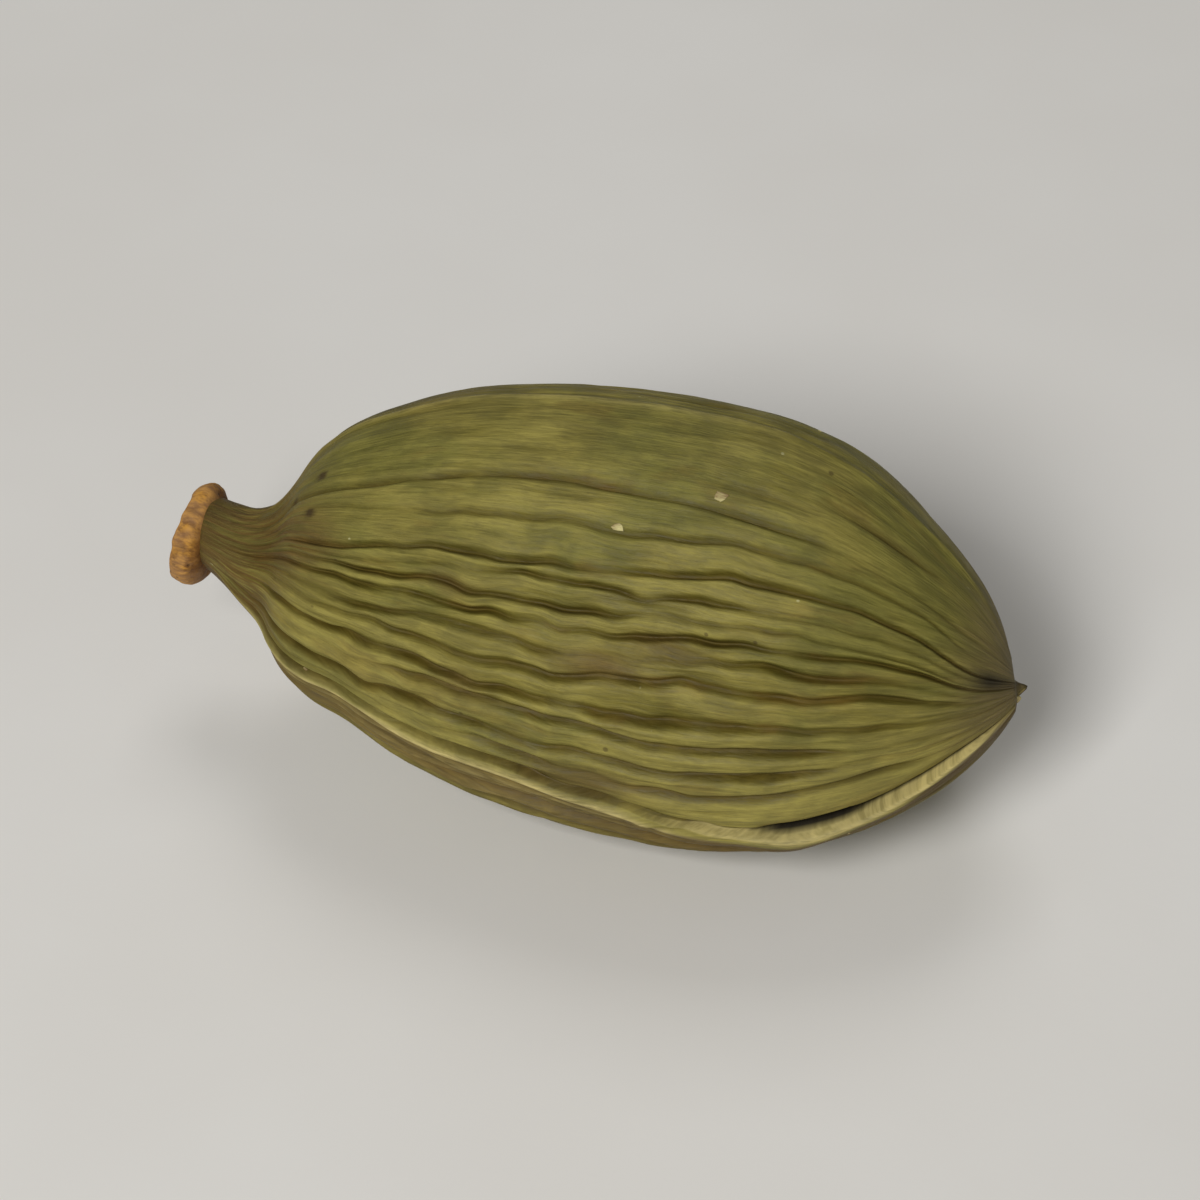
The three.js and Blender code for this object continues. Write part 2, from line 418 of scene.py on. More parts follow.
@dataclass(frozen=True)
class PodForm:
    """The form that the pod grew to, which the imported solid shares. Sizes are in millimetres."""

    length: float = 16.0
    girth: float = 3.93
    widest: float = 9.6
    husk_start: float = 1.808
    husk_end: float = 15.85
    stalk_roundness: float = 2.4
    stalk_taper: float = 0.5
    beak_roundness: float = 2.2
    beak_taper: float = 0.62
    neck_radius: float = 0.68
    neck_station: float = 1.25
    shoulder_radius: float = 1.25
    shoulder_length: float = 2.2
    tip_radius: float = 0.42
    three_sided: float = 0.065
    front_seam_turn: float = float(np.radians(-17.0))
    sag: float = 0.08
    tip_slant: float = 0.32
    tip_slant_start: float = 12.8
    neck_dip: float = 0.3
    neck_dip_station: float = 1.4
    neck_dip_half_length: float = 1.2
    swell_height: float = 0.55
    swell_station: float = 2.2
    swell_half_length: float = 1.9
    swell_half_width: float = 8.0
    swell_all_round: float = 0.22
    flattened: float = 0.34
    flattened_at: tuple[float, float] = (16.0, 14.1)
    flattened_reach: tuple[float, float] = (5.0, 1.5)
    wander: tuple[Wave, ...] = (Wave(0.17, 1.1, 5.0), Wave(0.1, 2.1, -8.0))
    crinkle: tuple[tuple[float, Ripple], ...] = (
        (0.13, Ripple(28, 0.9, 11)),
        (0.09, Ripple(42, 0.45, 12)),
    )
    creases: RibMap = RibMap()

    def outline(self, rings: int) -> tuple[Field, Field]:
        """Traces the husk from inside the stalk scar to the tip, evenly divided.

        Args:
            rings: How many rings the outline is divided into.

        Returns:
            The radius and the station of each ring.
        """
        angle = np.linspace(-np.pi / 2, np.pi / 2, 121)
        before = angle < 0
        share = np.abs(np.sin(angle))
        reach = np.where(before, self.widest - self.husk_start, self.husk_end - self.widest)
        roundness = np.where(before, self.stalk_roundness, self.beak_roundness)
        taper = np.where(before, self.stalk_taper, self.beak_taper)
        station = self.widest + np.sign(angle) * share * reach
        radius = self.girth * (1.0 - share**roundness) ** taper
        shown = radius > np.where(before, self.shoulder_radius, self.tip_radius)
        neck = [
            (0.05, 0.46),
            (self.neck_radius * 0.9, 0.5),
            (self.neck_radius * 0.97, 0.85),
            (self.neck_radius, self.neck_station),
            (self.neck_radius * 1.2, self.neck_station * 1.35),
        ]
        tip = [(self.tip_radius * 0.6, self.husk_end - 0.12), (0.03, self.husk_end)]
        points = np.array([*neck, *zip(radius[shown], station[shown]), *tip])
        radii, stations = eased_through(points, rings).T
        return np.maximum(radii, 0.02), stations

    def radius_at(self, station: Field) -> Field:
        """Gives the outline's radius at some stations."""
        radii, stations = self.outline(400)
        return np.interp(station, stations, radii)

    def husk_share(self, station: Field) -> Field:
        """Tells how fully the husk's own form shows, from 0 on the scar to 1."""
        return smooth(station, self.neck_station, self.neck_station + self.shoulder_length)

    def turn(self, rib: Field, station: Field) -> Field:
        """Gives the angle round the axis of some places. 0 faces the front and a quarter is up.

        Args:
            rib: The ribs round the pod.
            station: The stations along it.

        Returns:
            The angle of each place, in radians.
        """
        paths, _ = self.creases.tables()
        straight = self.creases.read(paths, rib, station)
        free = np.sin(np.pi * rib / RIBS_IN_A_VALVE) ** 2
        behind = smooth(rib, 14.0, 17.0)
        drift = behind * free * sum(wave.at(rib, station) for wave in self.wander)
        # The front valve's creases wobble most in the middle of its face.
        middle = mound(rib, 8.0, 3.6) * mound(station, 8.6, 3.2)
        shoulder = mound(rib, 3.6, 2.6) * mound(station, 4.6, 2.0)
        restless = 0.5 + (0.75 * middle + 0.6 * shoulder) * (1.0 - behind)
        for height, ripple in self.crinkle:
            drift = drift + height * ripple.at(rib, station) * restless * smooth(free, 0.0, 0.25)
        grown = straight + self.husk_share(station) * drift
        return self.front_seam_turn + grown / RIBS * FULL_TURN

    def place(self, rib: Field, station: Field, radius: Field, stands_out: Field) -> Field:
        """Finds where some places of the skin are.

        Args:
            rib: The ribs round the pod.
            station: The stations along it.
            radius: The outline's radius at each.
            stands_out: How far each stands out of the plain form.

        Returns:
            The points in millimetres, along the pod's own axis from the middle of its length.
        """
        turn = self.turn(rib, station)
        three_sided = self.three_sided * np.cos(3.0 * (turn - self.front_seam_turn))
        reach = radius * (1.0 + self.husk_share(station) * three_sided) + stands_out
        (rib_at, station_at), (rib_reach, station_reach) = self.flattened_at, self.flattened_reach
        flattened = mound(station, station_at, station_reach) * mound(ribs_from(rib, rib_at), 0.0, rib_reach)
        reach = reach - self.flattened * flattened
        along = bump((station - self.swell_station) / self.swell_half_length)
        across = bump(ribs_from(rib, 0.0) / self.swell_half_width)
        across = self.swell_all_round + (1.0 - self.swell_all_round) * across
        return self.about_axis(turn, station, reach + self.swell_height * along * across)

    def about_axis(self, turn: Field, station: Field, reach: Field) -> Field:
        """Turns places given round and along the pod's middle line into points.

        Args:
            turn: The angle of each place round the middle line, in radians.
            station: The stations along it.
            reach: How far each place is from it.

        Returns:
            The points in millimetres, along the pod's own axis from the middle of its length.
        """
        dip = bump((station - self.neck_dip_station) / self.neck_dip_half_length)
        sag = self.sag * np.sin(np.pi * station / self.length) + self.neck_dip * dip
        # The front valve's tip reaches furthest, and the husk's end slants back from it.
        from_front = 0.5 - 0.5 * np.cos(turn - self.front_seam_turn)
        slanted = self.tip_slant * from_front * smooth(station, self.tip_slant_start, self.length)
        return np.stack(
            [
                station - slanted - self.length / 2,
                -reach * np.cos(turn),
                reach * np.sin(turn) - sag,
            ],
            axis=-1,
        )


@dataclass(frozen=True)
class Seat:
    """Where the pod's own axes lie in the row's frame.

    Attributes:
        shift: What is added to a point in the pod's own axes, in millimetres.
    """

    shift: tuple[float, float, float]

    @classmethod
    def fitted(cls, skin: Field) -> "Seat":
        """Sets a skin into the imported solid's box: its sides centred, and its top at the same height.

        Args:
            skin: The husk's points in the pod's own axes.

        Returns:
            The seat that puts them there.
        """
        low, high = (np.array(corner) / MM for corner in PACKED_BOX)
        flat = skin.reshape(-1, 3)
        own_low, own_high = flat.min(axis=0), flat.max(axis=0)
        across = (low[1] + high[1]) / 2 - (own_low[1] + own_high[1]) / 2
        return cls((float(low[0] + high[0]) / 2, float(across), float(high[2] - own_high[2])))

    def settled(self, points: Field) -> Field:
        """Gives points in metres in the row's frame, none of them under the surface it rests on."""
        moved = points + np.array(self.shift)
        moved[..., 2] = np.maximum(moved[..., 2], 0.0)
        return moved * MM


@dataclass
class MeshDraft:
    """Gathers closed skins, each of rings between two poles, into one mesh."""

    vertices: list[Field] = field(default_factory=list)
    quads: list[Field] = field(default_factory=list)
    triangles: list[Field] = field(default_factory=list)

    def add_skin(self, rings: Field, start: Field, end: Field) -> None:
        """Adds one closed skin.

        Args:
            rings: Points as rings by columns by 3, outward to the right of the rings' direction.
            start: The pole before the first ring.
            end: The pole after the last ring.
        """
        base = sum(len(part) for part in self.vertices)
        count, columns = rings.shape[:2]
        index = base + np.arange(count * columns).reshape(count, columns)
        beside = np.roll(index, -1, axis=1)
        faces = np.stack([index[:-1], index[1:], beside[1:], beside[:-1]], axis=-1)
        first = base + count * columns
        opening = np.stack([np.full(columns, first), index[0], beside[0]], axis=-1)
        closing = np.stack([np.full(columns, first + 1), beside[-1], index[-1]], axis=-1)
        self.vertices.append(np.concatenate([rings.reshape(-1, 3), [start, end]]))
        self.quads.append(faces.reshape(-1, 4))
        self.triangles.append(np.concatenate([opening, closing]))

    def make(self, name: str, seat: Seat, material: bpy.types.Material) -> bpy.types.Object:
        """Makes the object, smooth shaded, riding on the pod's body.

        Args:
            name: The piece's name.
            seat: Where the pod lies.
            material: The piece's finish.

        Returns:
            The new object, with the given finish in its mesh's slot.
        """
        points = seat.settled(np.concatenate(self.vertices))
        faces = [face for part in (*self.quads, *self.triangles) for face in part.tolist()]
        mesh = bpy.data.meshes.new(name)
        mesh.from_pydata(points.tolist(), [], faces)
        mesh.polygons.foreach_set("use_smooth", [True] * len(mesh.polygons))
        mesh.materials.append(material)
        mesh.update()
        piece = bpy.data.objects.new(name, mesh)
        bpy.context.collection.objects.link(piece)
        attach(piece, BODY)
        log.info("%s: %d points, %d faces", name, len(points), len(faces))
        return piece


def write_mask(piece: bpy.types.Object, mask: Mask, values: Field) -> None:
    """Stores a value, or a vector, for each point of a piece's mesh.

    Args:
        piece: The piece whose mesh carries the values.
        mask: Which attribute they are.
        values: One number or one vector for each point.
    """
    vector = values.ndim == 2
    kind = "FLOAT_VECTOR" if vector else "FLOAT"
    attribute = piece.data.attributes.new(mask.value, kind, "POINT")
    attribute.data.foreach_set("vector" if vector else "value", values.astype(np.float32).ravel())


def linear(red: int, green: int, blue: int) -> Colour:
    """Turns a display colour of 0 to 255 into a linear one."""
    shares = np.array([red, green, blue]) / 255.0
    low, high = shares / 12.92, ((shares + 0.055) / 1.055) ** 2.4
    r, g, b = np.where(shares <= 0.04045, low, high)
    return float(r), float(g), float(b)


class NodeSheet:
    """Lays out the nodes of one material or node group."""

    def __init__(self, tree: bpy.types.NodeTree) -> None:
        """Starts on a tree.

        Args:
            tree: The node tree to add to.
        """
        self.tree = tree

    def add(self, kind: str, inputs: dict, **settings: object) -> bpy.types.Node:
        """Adds a node.

        Args:
            kind: The node's type, without its ShaderNode prefix.
            inputs: A socket to link, or a value to set, for each input named or numbered.
            **settings: Properties of the node.

        Returns:
            The new node.
        """
        node = self.tree.nodes.new(kind if kind.startswith("Node") else f"ShaderNode{kind}")
        for name, value in settings.items():
            setattr(node, name, value)
        for key, value in inputs.items():
            if isinstance(value, bpy.types.NodeSocket):
                self.tree.links.new(value, node.inputs[key])
            else:
                node.inputs[key].default_value = value
        return node

    def mask(self, mask: Mask) -> bpy.types.NodeSocket:
        """Reads one of the mesh's own attributes."""
        node = self.add("Attribute", {}, attribute_type="GEOMETRY", attribute_name=mask.value)
        return node.outputs["Vector" if mask is Mask.GROWN else "Fac"]

    def math(self, operation: str, first: object, second: object = 0.0) -> bpy.types.NodeSocket:
        """Does one sum on two numbers or sockets."""
        return self.add("Math", {0: first, 1: second}, operation=operation).outputs[0]

    def product(self, *factors: object) -> bpy.types.NodeSocket:
        """Multiplies some numbers and sockets together."""
        result = factors[0]
        for factor in factors[1:]:
            result = self.math("MULTIPLY", result, factor)
        return result

    def spread(
        self, value: object, low: float, high: float, start: float = 0.0, end: float = 1.0
    ) -> bpy.types.NodeSocket:
        """Maps a value smoothly from one range to another.

        Args:
            value: The socket to map.
            low: The value that gives start.
            high: The value that gives end.
            start: What low becomes.
            end: What high becomes.

        Returns:
            The mapped value's socket.
        """
        inputs = {"Value": value, 1: low, 2: high, 3: start, 4: end}
        return self.add("MapRange", inputs, interpolation_type="SMOOTHSTEP").outputs[0]

    def over(
        self, share: object, under: object, top: object, blend: Blend = Blend.MIX
    ) -> bpy.types.NodeSocket:
        """Lays one colour over another.

        Args:
            share: How much of the top colour shows, from 0 to 1.
            under: The colour or socket underneath.
            top: The colour or socket laid over it.
            blend: How the two meet.

        Returns:
            The mixed colour's socket.
        """
        colours = [c if isinstance(c, bpy.types.NodeSocket) else (*c, 1.0) for c in (under, top)]
        node = self.add("Mix", {0: share, 6: colours[0], 7: colours[1]}, data_type="RGBA")
        node.blend_type = blend.value
        return node.outputs[2]

    def stretched(self, place: object, stretch: object) -> bpy.types.NodeSocket:
        """Scales a place by a number of its own along each direction."""
        return self.add("VectorMath", {0: place, 1: stretch}, operation="MULTIPLY").outputs[0]

    def noise(self, place: object, detail: float, roughness: float) -> bpy.types.NodeSocket:
        """Gives a cloudy value round a half."""
        inputs = {"Vector": place, "Scale": 1.0, "Detail": detail, "Roughness": roughness}
        return self.add("TexNoise", inputs).outputs["Fac"]


@dataclass(frozen=True)
class EffectSocket:
    """A named input or output of a shared effect: its type and its first value."""

    name: str
    kind: str = "NodeSocketFloat"
    value: object = 0.0


class Effect:
    """A node group that several finishes share, made once and placed with each one's own values."""

    inputs: tuple[EffectSocket, ...] = ()
    outputs: tuple[str, ...] = ()

    def __init__(self) -> None:
        """Makes the group with its sockets, then fills it."""
        self.group = bpy.data.node_groups.new(type(self).__name__, "ShaderNodeTree")
        for socket in self.inputs:
            made = self.group.interface.new_socket(
                socket.name, in_out="INPUT", socket_type=socket.kind
            )
            made.default_value = socket.value
        for name in self.outputs:
            self.group.interface.new_socket(name, in_out="OUTPUT", socket_type="NodeSocketFloat")
        sheet = NodeSheet(self.group)
        given = sheet.add("NodeGroupInput", {}).outputs
        results = self.fill(sheet, given)
        sheet.add("NodeGroupOutput", dict(zip(self.outputs, results)))

    def fill(self, sheet: NodeSheet, given: object) -> tuple[bpy.types.NodeSocket, ...]:
        """Adds the group's nodes. Each effect has its own.

        Args:
            sheet: The sheet to add to.
            given: The group's input sockets, by name.

        Returns:
            A socket for each output, in their order.
        """
        raise NotImplementedError

    def on(self, sheet: NodeSheet, **values: object) -> bpy.types.bpy_prop_collection:
        """Places the effect in a material.

        Args:
            sheet: The material's sheet.
            **values: A value or a socket for each input, with _ for a space.

        Returns:
            The placed group's outputs, by name.
        """
        node = sheet.add("Group", {}, node_tree=self.group)
        for name, value in values.items():
            socket = node.inputs[name.replace("_", " ").capitalize()]
            if isinstance(value, bpy.types.NodeSocket):
                sheet.tree.links.new(value, socket)
            else:
                socket.default_value = value
        return node.outputs


class DryFibres(Effect):
    """Fine fibres along the skin, as a streaky value and a height."""

    inputs = (
        EffectSocket("Place", "NodeSocketVector", (0.0, 0.0, 0.0)),
        EffectSocket("Stretch", "NodeSocketVector", (1.0, 1.0, 1.0)),
        EffectSocket("Contrast", value=1.0),
    )
    outputs = ("Streak", "Height")

    def fill(self, sheet: NodeSheet, given: object) -> tuple[bpy.types.NodeSocket, ...]:
        """Runs a coarse and a fine streaky noise together.

        Args:
            sheet: The sheet to add to.
            given: The group's input sockets.

        Returns:
            The streak and the height.
        """
        coarse_place = sheet.stretched(given["Place"], given["Stretch"])
        fine_place = sheet.stretched(coarse_place, (2.7, 2.7, 2.1))
        coarse = sheet.noise(coarse_place, 3.0, 0.55)
        fine = sheet.noise(fine_place, 2.0, 0.6)
        both = sheet.math("ADD", sheet.product(coarse, 0.62), sheet.product(fine, 0.38))
        strong = sheet.product(sheet.math("SUBTRACT", both, 0.5), given["Contrast"])
        streak = sheet.math("ADD", strong, 0.5)
        return streak, both


class DryPatches(Effect):
    """Cloudy patches of another tone, as a mask."""

    inputs = (
        EffectSocket("Place", "NodeSocketVector", (0.0, 0.0, 0.0)),
        EffectSocket("Stretch", "NodeSocketVector", (1.0, 1.0, 1.0)),
        EffectSocket("Low", value=0.5),
        EffectSocket("High", value=0.6),
    )
    outputs = ("Patch",)

    def fill(self, sheet: NodeSheet, given: object) -> tuple[bpy.types.NodeSocket, ...]:
        """Cuts a cloudy noise between two levels.

        Args:
            sheet: The sheet to add to.
            given: The group's input sockets.

        Returns:
            The mask alone.
        """
        cloud = sheet.noise(sheet.stretched(given["Place"], given["Stretch"]), 4.0, 0.6)
        return (sheet.spread(cloud, given["Low"], given["High"]),)


class PinSpecks(Effect):
    """Small round specks scattered over the skin, as a mask."""

    inputs = (
        EffectSocket("Place", "NodeSocketVector", (0.0, 0.0, 0.0)),
        EffectSocket("Crowding", value=1.0),
        EffectSocket("Radius", value=0.2),
        EffectSocket("Kept", value=0.3),
    )
    outputs = ("Speck",)

    def fill(self, sheet: NodeSheet, given: object) -> tuple[bpy.types.NodeSocket, ...]:
        """Keeps some of the cells of a scatter, each as a soft dot.

        Args:
            sheet: The sheet to add to.
            given: The group's input sockets.

        Returns:
            The mask alone.
        """
        cells = sheet.add("TexVoronoi", {"Vector": given["Place"], "Scale": given["Crowding"]})
        parts = sheet.add("SeparateColor", {0: cells.outputs["Color"]}).outputs
        size = sheet.product(given["Radius"], sheet.spread(parts[1], 0.0, 1.0, 0.5, 1.0))
        inside = sheet.math("SUBTRACT", 1.0, sheet.math("DIVIDE", cells.outputs["Distance"], size))
        kept = sheet.math("LESS_THAN", parts[0], given["Kept"])
        return (sheet.product(sheet.spread(inside, 0.0, 0.45), kept),)


@dataclass(frozen=True)
class Effects:
    """The effects that the pod's finishes share."""

    fibres: DryFibres
    patches: DryPatches
    specks: PinSpecks


@dataclass(frozen=True)
class Finish:
    """What every finish of the pod has: a name and the numbers of its gloss."""

    name: str
    roughness: float = 0.6
    specular: float = 0.3
    sheen: float = 0.0
    bump_depth: float = 0.035 * MM
    bump_strength: float = 0.9

    def paint(self, sheet: NodeSheet, effects: Effects) -> tuple[object, object, object]:
        """Works out the finish over the surface. Each finish has its own.

        Args:
            sheet: The material's sheet.
            effects: The shared effects.

        Returns:
            The colour, how much the roughness changes, and the height of the fine relief.
        """
        raise NotImplementedError

    def make(self, effects: Effects) -> bpy.types.Material:
        """Makes the material.

        Args:
            effects: The shared effects.

        Returns:
            The new material.
        """
        material = bpy.data.materials.new(self.name)
        material.use_nodes = True
        tree = material.node_tree
        tree.nodes.clear()
        sheet = NodeSheet(tree)
        colour, roughness, height = self.paint(sheet, effects)
        fine_relief = sheet.add(
            "Bump",
            {"Strength": self.bump_strength, "Distance": self.bump_depth, "Height": height},
        )
        shader = sheet.add(
            "BsdfPrincipled",
            {
                "Base Color": colour,
                "Roughness": roughness,
                "Specular IOR Level": self.specular,
                "Sheen Weight": self.sheen,
                "Normal": fine_relief.outputs[0],
            },
        )
        sheet.add("OutputMaterial", {"Surface": shader.outputs[0]})
        return material


@dataclass(frozen=True)
class HuskFinish(Finish):
    """The husk: papery olive skin with straw seams and a brown neck; its crests are paler with painted
    highlight, and its valleys, creases, crack and the face under the open seam darker with painted shade.
    """

    name: str = "dry_green_husk"
    # The crest tone is partly the crests' own paler olive and partly painted highlight; the flank tone that
    # the valleys keep is partly painted shade.
    crest: Colour = linear(146, 135, 66)
    flank: Colour = linear(101, 92, 30)
    # Painted shade along the creases, the short wrinkles and the neck under the stalk scar.
    crease: Colour = linear(88, 73, 20)
    green: Colour = linear(92, 94, 37)
    tan: Colour = linear(114, 84, 30)
    straw: Colour = linear(190, 174, 112)
    # Brown of the stains and of the face under the open seam, darkened there as painted shade.
    lip_face: Colour = linear(98, 76, 36)
    neck: Colour = linear(104, 80, 34)
    tip: Colour = linear(118, 100, 66)
    # Painted shade inside the sprung seam's crack and in the small pit before the beak.
    inside: Colour = linear(20, 14, 6)
    dark: Colour = linear(58, 40, 14)
    pale: Colour = linear(205, 200, 150)

    def paint(self, sheet: NodeSheet, effects: Effects) -> tuple[object, object, object]:
        """Lays the tones over one another, from the broad ones to the specks.

        Args:
            sheet: The material's sheet.
            effects: The shared effects.

        Returns:
            The colour, the roughness and the height of the fine relief.
        """
        place = sheet.mask(Mask.GROWN)
        coarse = effects.fibres.on(sheet, place=place, stretch=(6.0, 6.0, 0.7), contrast=1.8)
        fine = effects.fibres.on(sheet, place=place, stretch=(20.0, 20.0, 2.2), contrast=1.9)
        mottle = effects.patches.on(sheet, place=place, stretch=(1.9, 1.9, 1.3), low=0.36, high=0.64)
        clouds = effects.patches.on(sheet, place=place, stretch=(0.45, 0.45, 0.3), low=0.42, high=0.62)
        stains = effects.patches.on(sheet, place=place, stretch=(1.5, 1.5, 0.55), low=0.55, high=0.68)
        # The crests are painted paler, partly as highlight, and the valleys keep the darker flank tone as
        # painted shade.
        crest = sheet.mask(Mask.CREST_LIGHT)
        lit = sheet.math("ADD", crest, sheet.math("SUBTRACT", coarse["Streak"], 0.5))
        colour = sheet.over(sheet.spread(lit, 0.35, 1.5), self.flank, self.crest)
        colour = sheet.over(sheet.product(clouds["Patch"], 0.45), colour, self.green)
        in_fold = sheet.spread(crest, 0.15, 1.0, 1.0, 0.35)
        colour = sheet.over(sheet.product(stains["Patch"], in_fold, 0.6), colour, self.tan)
        # Painted shade in the creases.
        colour = sheet.over(sheet.product(sheet.mask(Mask.CREASE), 0.85), colour, self.crease)
        neck = sheet.product(sheet.mask(Mask.NECK_BROWN_AND_SCAR_SHADE), sheet.spread(coarse["Streak"], 0.3, 0.6, 0.1, 0.95))
        colour = sheet.over(neck, colour, self.neck)
        tip = sheet.product(sheet.mask(Mask.TIP), sheet.spread(coarse["Streak"], 0.3, 0.6, 0.5, 0.95))
        colour = sheet.over(tip, colour, self.tip)
        # Brown stains, and painted shade on the face under the open seam.
        colour = sheet.over(sheet.product(sheet.mask(Mask.BROWN_AND_UNDER_SEAM_SHADE), 0.85), colour, self.lip_face)
        seam = sheet.product(sheet.mask(Mask.SEAM), sheet.spread(fine["Streak"], 0.2, 0.6, 0.6, 1.0))
        colour = sheet.over(seam, colour, self.straw)
        dark = effects.specks.on(sheet, place=place, crowding=1.9, radius=0.13, kept=0.07)
        colour = sheet.over(sheet.product(dark["Speck"], 0.55), colour, self.dark)
        pale = effects.specks.on(sheet, place=place, crowding=2.6, radius=0.12, kept=0.06)
        colour = sheet.over(sheet.product(pale["Speck"], 0.5), colour, self.pale)
        streaked = sheet.spread(fine["Streak"], 0.1, 0.9, 0.8, 1.2)
        grain = sheet.product(streaked, sheet.spread(mottle["Patch"], 0.0, 1.0, 0.87, 1.08))
        tone = sheet.add("CombineColor", {0: grain, 1: grain, 2: grain}).outputs[0]
        colour = sheet.over(1.0, colour, tone, Blend.MULTIPLY)
        colour = sheet.over(sheet.product(sheet.mask(Mask.SPOT), 0.85), colour, self.dark)
        # Painted shade inside the crack and in the pit before the beak.
        colour = sheet.over(sheet.mask(Mask.GAP_SHADE), colour, self.inside)
        roughness = sheet.spread(fine["Streak"], 0.2, 0.8, self.roughness - 0.08, self.roughness + 0.1)
        height = sheet.math("ADD", coarse["Height"], sheet.product(fine["Height"], 0.8))
        return colour, roughness, height


@dataclass(frozen=True)
class ScarFinish(Finish):
    """The stalk scar: corky orange-brown, with a pale torn rim that is partly painted highlight, dark pits,
    and painted shade in its furrows and on its side against the neck.
    """

    name: str = "corky_stalk_scar"
    roughness: float = 0.72
    specular: float = 0.3
    bump_depth: float = 0.04 * MM
    bump_strength: float = 0.8
    # The deep tone is also painted shade where the scar turns in to the neck; the rim tone is partly painted
    # highlight on its raised furrows; the pit tone is also painted shade in the furrows' hollows.
    cork: Colour = linear(204, 148, 62)
    deep: Colour = linear(112, 72, 30)
    rim: Colour = linear(180, 138, 92)
    pit: Colour = linear(50, 30, 12)

    def paint(self, sheet: NodeSheet, effects: Effects) -> tuple[object, object, object]:
        """Lays the pale rim with its painted highlight, the dark pits and the painted shade over streaky
        cork.

        Args:
            sheet: The material's sheet.
            effects: The shared effects.

        Returns:
            The colour, the roughness and the height of the fine relief.
        """
        place = sheet.mask(Mask.GROWN)
        streaks = effects.fibres.on(sheet, place=place, stretch=(7.0, 7.0, 3.0), contrast=2.2)
        blots = effects.patches.on(sheet, place=place, stretch=(1.5, 1.5, 1.2), low=0.46, high=0.6)
        pits = effects.specks.on(sheet, place=place, crowding=5.0, radius=0.35, kept=0.14)
        colour = sheet.over(sheet.spread(streaks["Streak"], 0.2, 0.85), self.deep, self.cork)
        # Painted shade on the scar's side where it turns in to the neck.
        colour = sheet.over(sheet.product(sheet.mask(Mask.NECK_BROWN_AND_SCAR_SHADE), 0.8), colour, self.deep)
        colour = sheet.over(sheet.product(blots["Patch"], 0.4), colour, self.rim)
        # The rim's raised furrows painted paler: partly the torn rim's own tone, partly painted highlight.
        colour = sheet.over(sheet.product(sheet.mask(Mask.CREST_LIGHT), 0.85), colour, self.rim)
        colour = sheet.over(sheet.product(pits["Speck"], 0.5), colour, self.pit)
        # Painted shade in the furrows' hollows.
        colour = sheet.over(sheet.mask(Mask.CREASE), colour, self.pit)
        roughness = sheet.spread(streaks["Streak"], 0.2, 0.8, self.roughness - 0.06, self.roughness + 0.1)
        height = sheet.math("SUBTRACT", streaks["Height"], sheet.product(pits["Speck"], 0.6))
        return colour, roughness, height


@dataclass(frozen=True)
class PaperFinish(Finish):
    """Loose dry paper of the skin, on the tip, the flakes and the fibres."""

    name: str = "loose_dry_paper"
    roughness: float = 0.66
    specular: float = 0.35
    paper: Colour = linear(204, 194, 134)
    worn: Colour = linear(128, 100, 62)
    reach: float = 6.0

    def paint(self, sheet: NodeSheet, effects: Effects) -> tuple[object, object, object]:
        """Streaks the paper with a darker worn tone.

        Args:
            sheet: The material's sheet.
            effects: The shared effects.

        Returns:
            The colour, the roughness and the height of the fine relief.
        """
        own = sheet.add("TexCoord", {}).outputs["Object"]
        place = sheet.stretched(own, (1.0 / MM,) * 3)
        streaks = effects.fibres.on(
            sheet, place=place, stretch=(self.reach * 0.4, self.reach, self.reach), contrast=2.0
        )
        colour = sheet.over(sheet.spread(streaks["Streak"], 0.15, 0.75), self.worn, self.paper)
        roughness = sheet.spread(streaks["Streak"], 0.2, 0.8, self.roughness - 0.05, self.roughness + 0.1)
        return colour, roughness, streaks["Height"]


@dataclass(frozen=True)
class FloorFinish(Finish):
    """The plain pale surface that the pod lies on."""

    name: str = "pale_floor"
    roughness: float = 0.85
    specular: float = 0.2
    bump_depth: float = 0.01 * MM
    bump_strength: float = 0.2
    light: Colour = linear(240, 238, 233)
    shade: Colour = linear(235, 232, 226)

    def paint(self, sheet: NodeSheet, effects: Effects) -> tuple[object, object, object]:
        """Clouds the floor very faintly.

        Args:
            sheet: The material's sheet.
            effects: The shared effects.

        Returns:
            The colour, the roughness and the height of the fine relief.
        """
        own = sheet.add("TexCoord", {}).outputs["Object"]
        place = sheet.stretched(own, (1.0 / MM,) * 3)
        clouds = effects.patches.on(sheet, place=place, stretch=(0.05,) * 3, low=0.3, high=0.7)
        grain = effects.fibres.on(sheet, place=place, stretch=(3.0, 3.0, 3.0), contrast=1.0)
        colour = sheet.over(clouds["Patch"], self.light, self.shade)
        roughness = sheet.spread(grain["Streak"], 0.2, 0.8, self.roughness - 0.03, self.roughness + 0.05)
        return colour, roughness, grain["Height"]


@dataclass(frozen=True)
class SkinPlaces:
    """Some places of the skin and how they lie to the creases.

    Attributes:
        rib: Their ribs round the pod, counted by crease.
        station: Their stations along it.
        radius: The outline's radius at each.
        straight: Their ribs round the pod, all of one width.
        keel_path: The straight rib that the front keel runs on there.
        narrow: How much of the full relief has room there, less where the pod is thin.
    """

    rib: Field
    station: Field
    radius: Field
    straight: Field
    keel_path: Field
    narrow: Field

    @property
    def level(self) -> Field:
        """Counts the creases from the front keel, negative below it."""
        return ribs_from(self.rib, 0.0)

    @property
    def from_keel(self) -> Field:
        """Counts the straight ribs from the front keel, negative below it."""
        return ribs_from(self.straight, self.keel_path)

    @property
    def front(self) -> Field:
        """Counts by crease over the front keel, and by straight ribs under it."""
        return np.where(self.level > 0.0, self.level, self.from_keel)


@dataclass(frozen=True)
class SkinRelief:
    """What the husk's skin does at some places: how far it stands out, and where each tone lies, painted
    highlight and painted shade among them.
    """

    stands_out: Field
    crest: Field
    crease: Field
    seam: Field
    lip_face: Field
    gap: Field
    spot: Field
    straight: Field


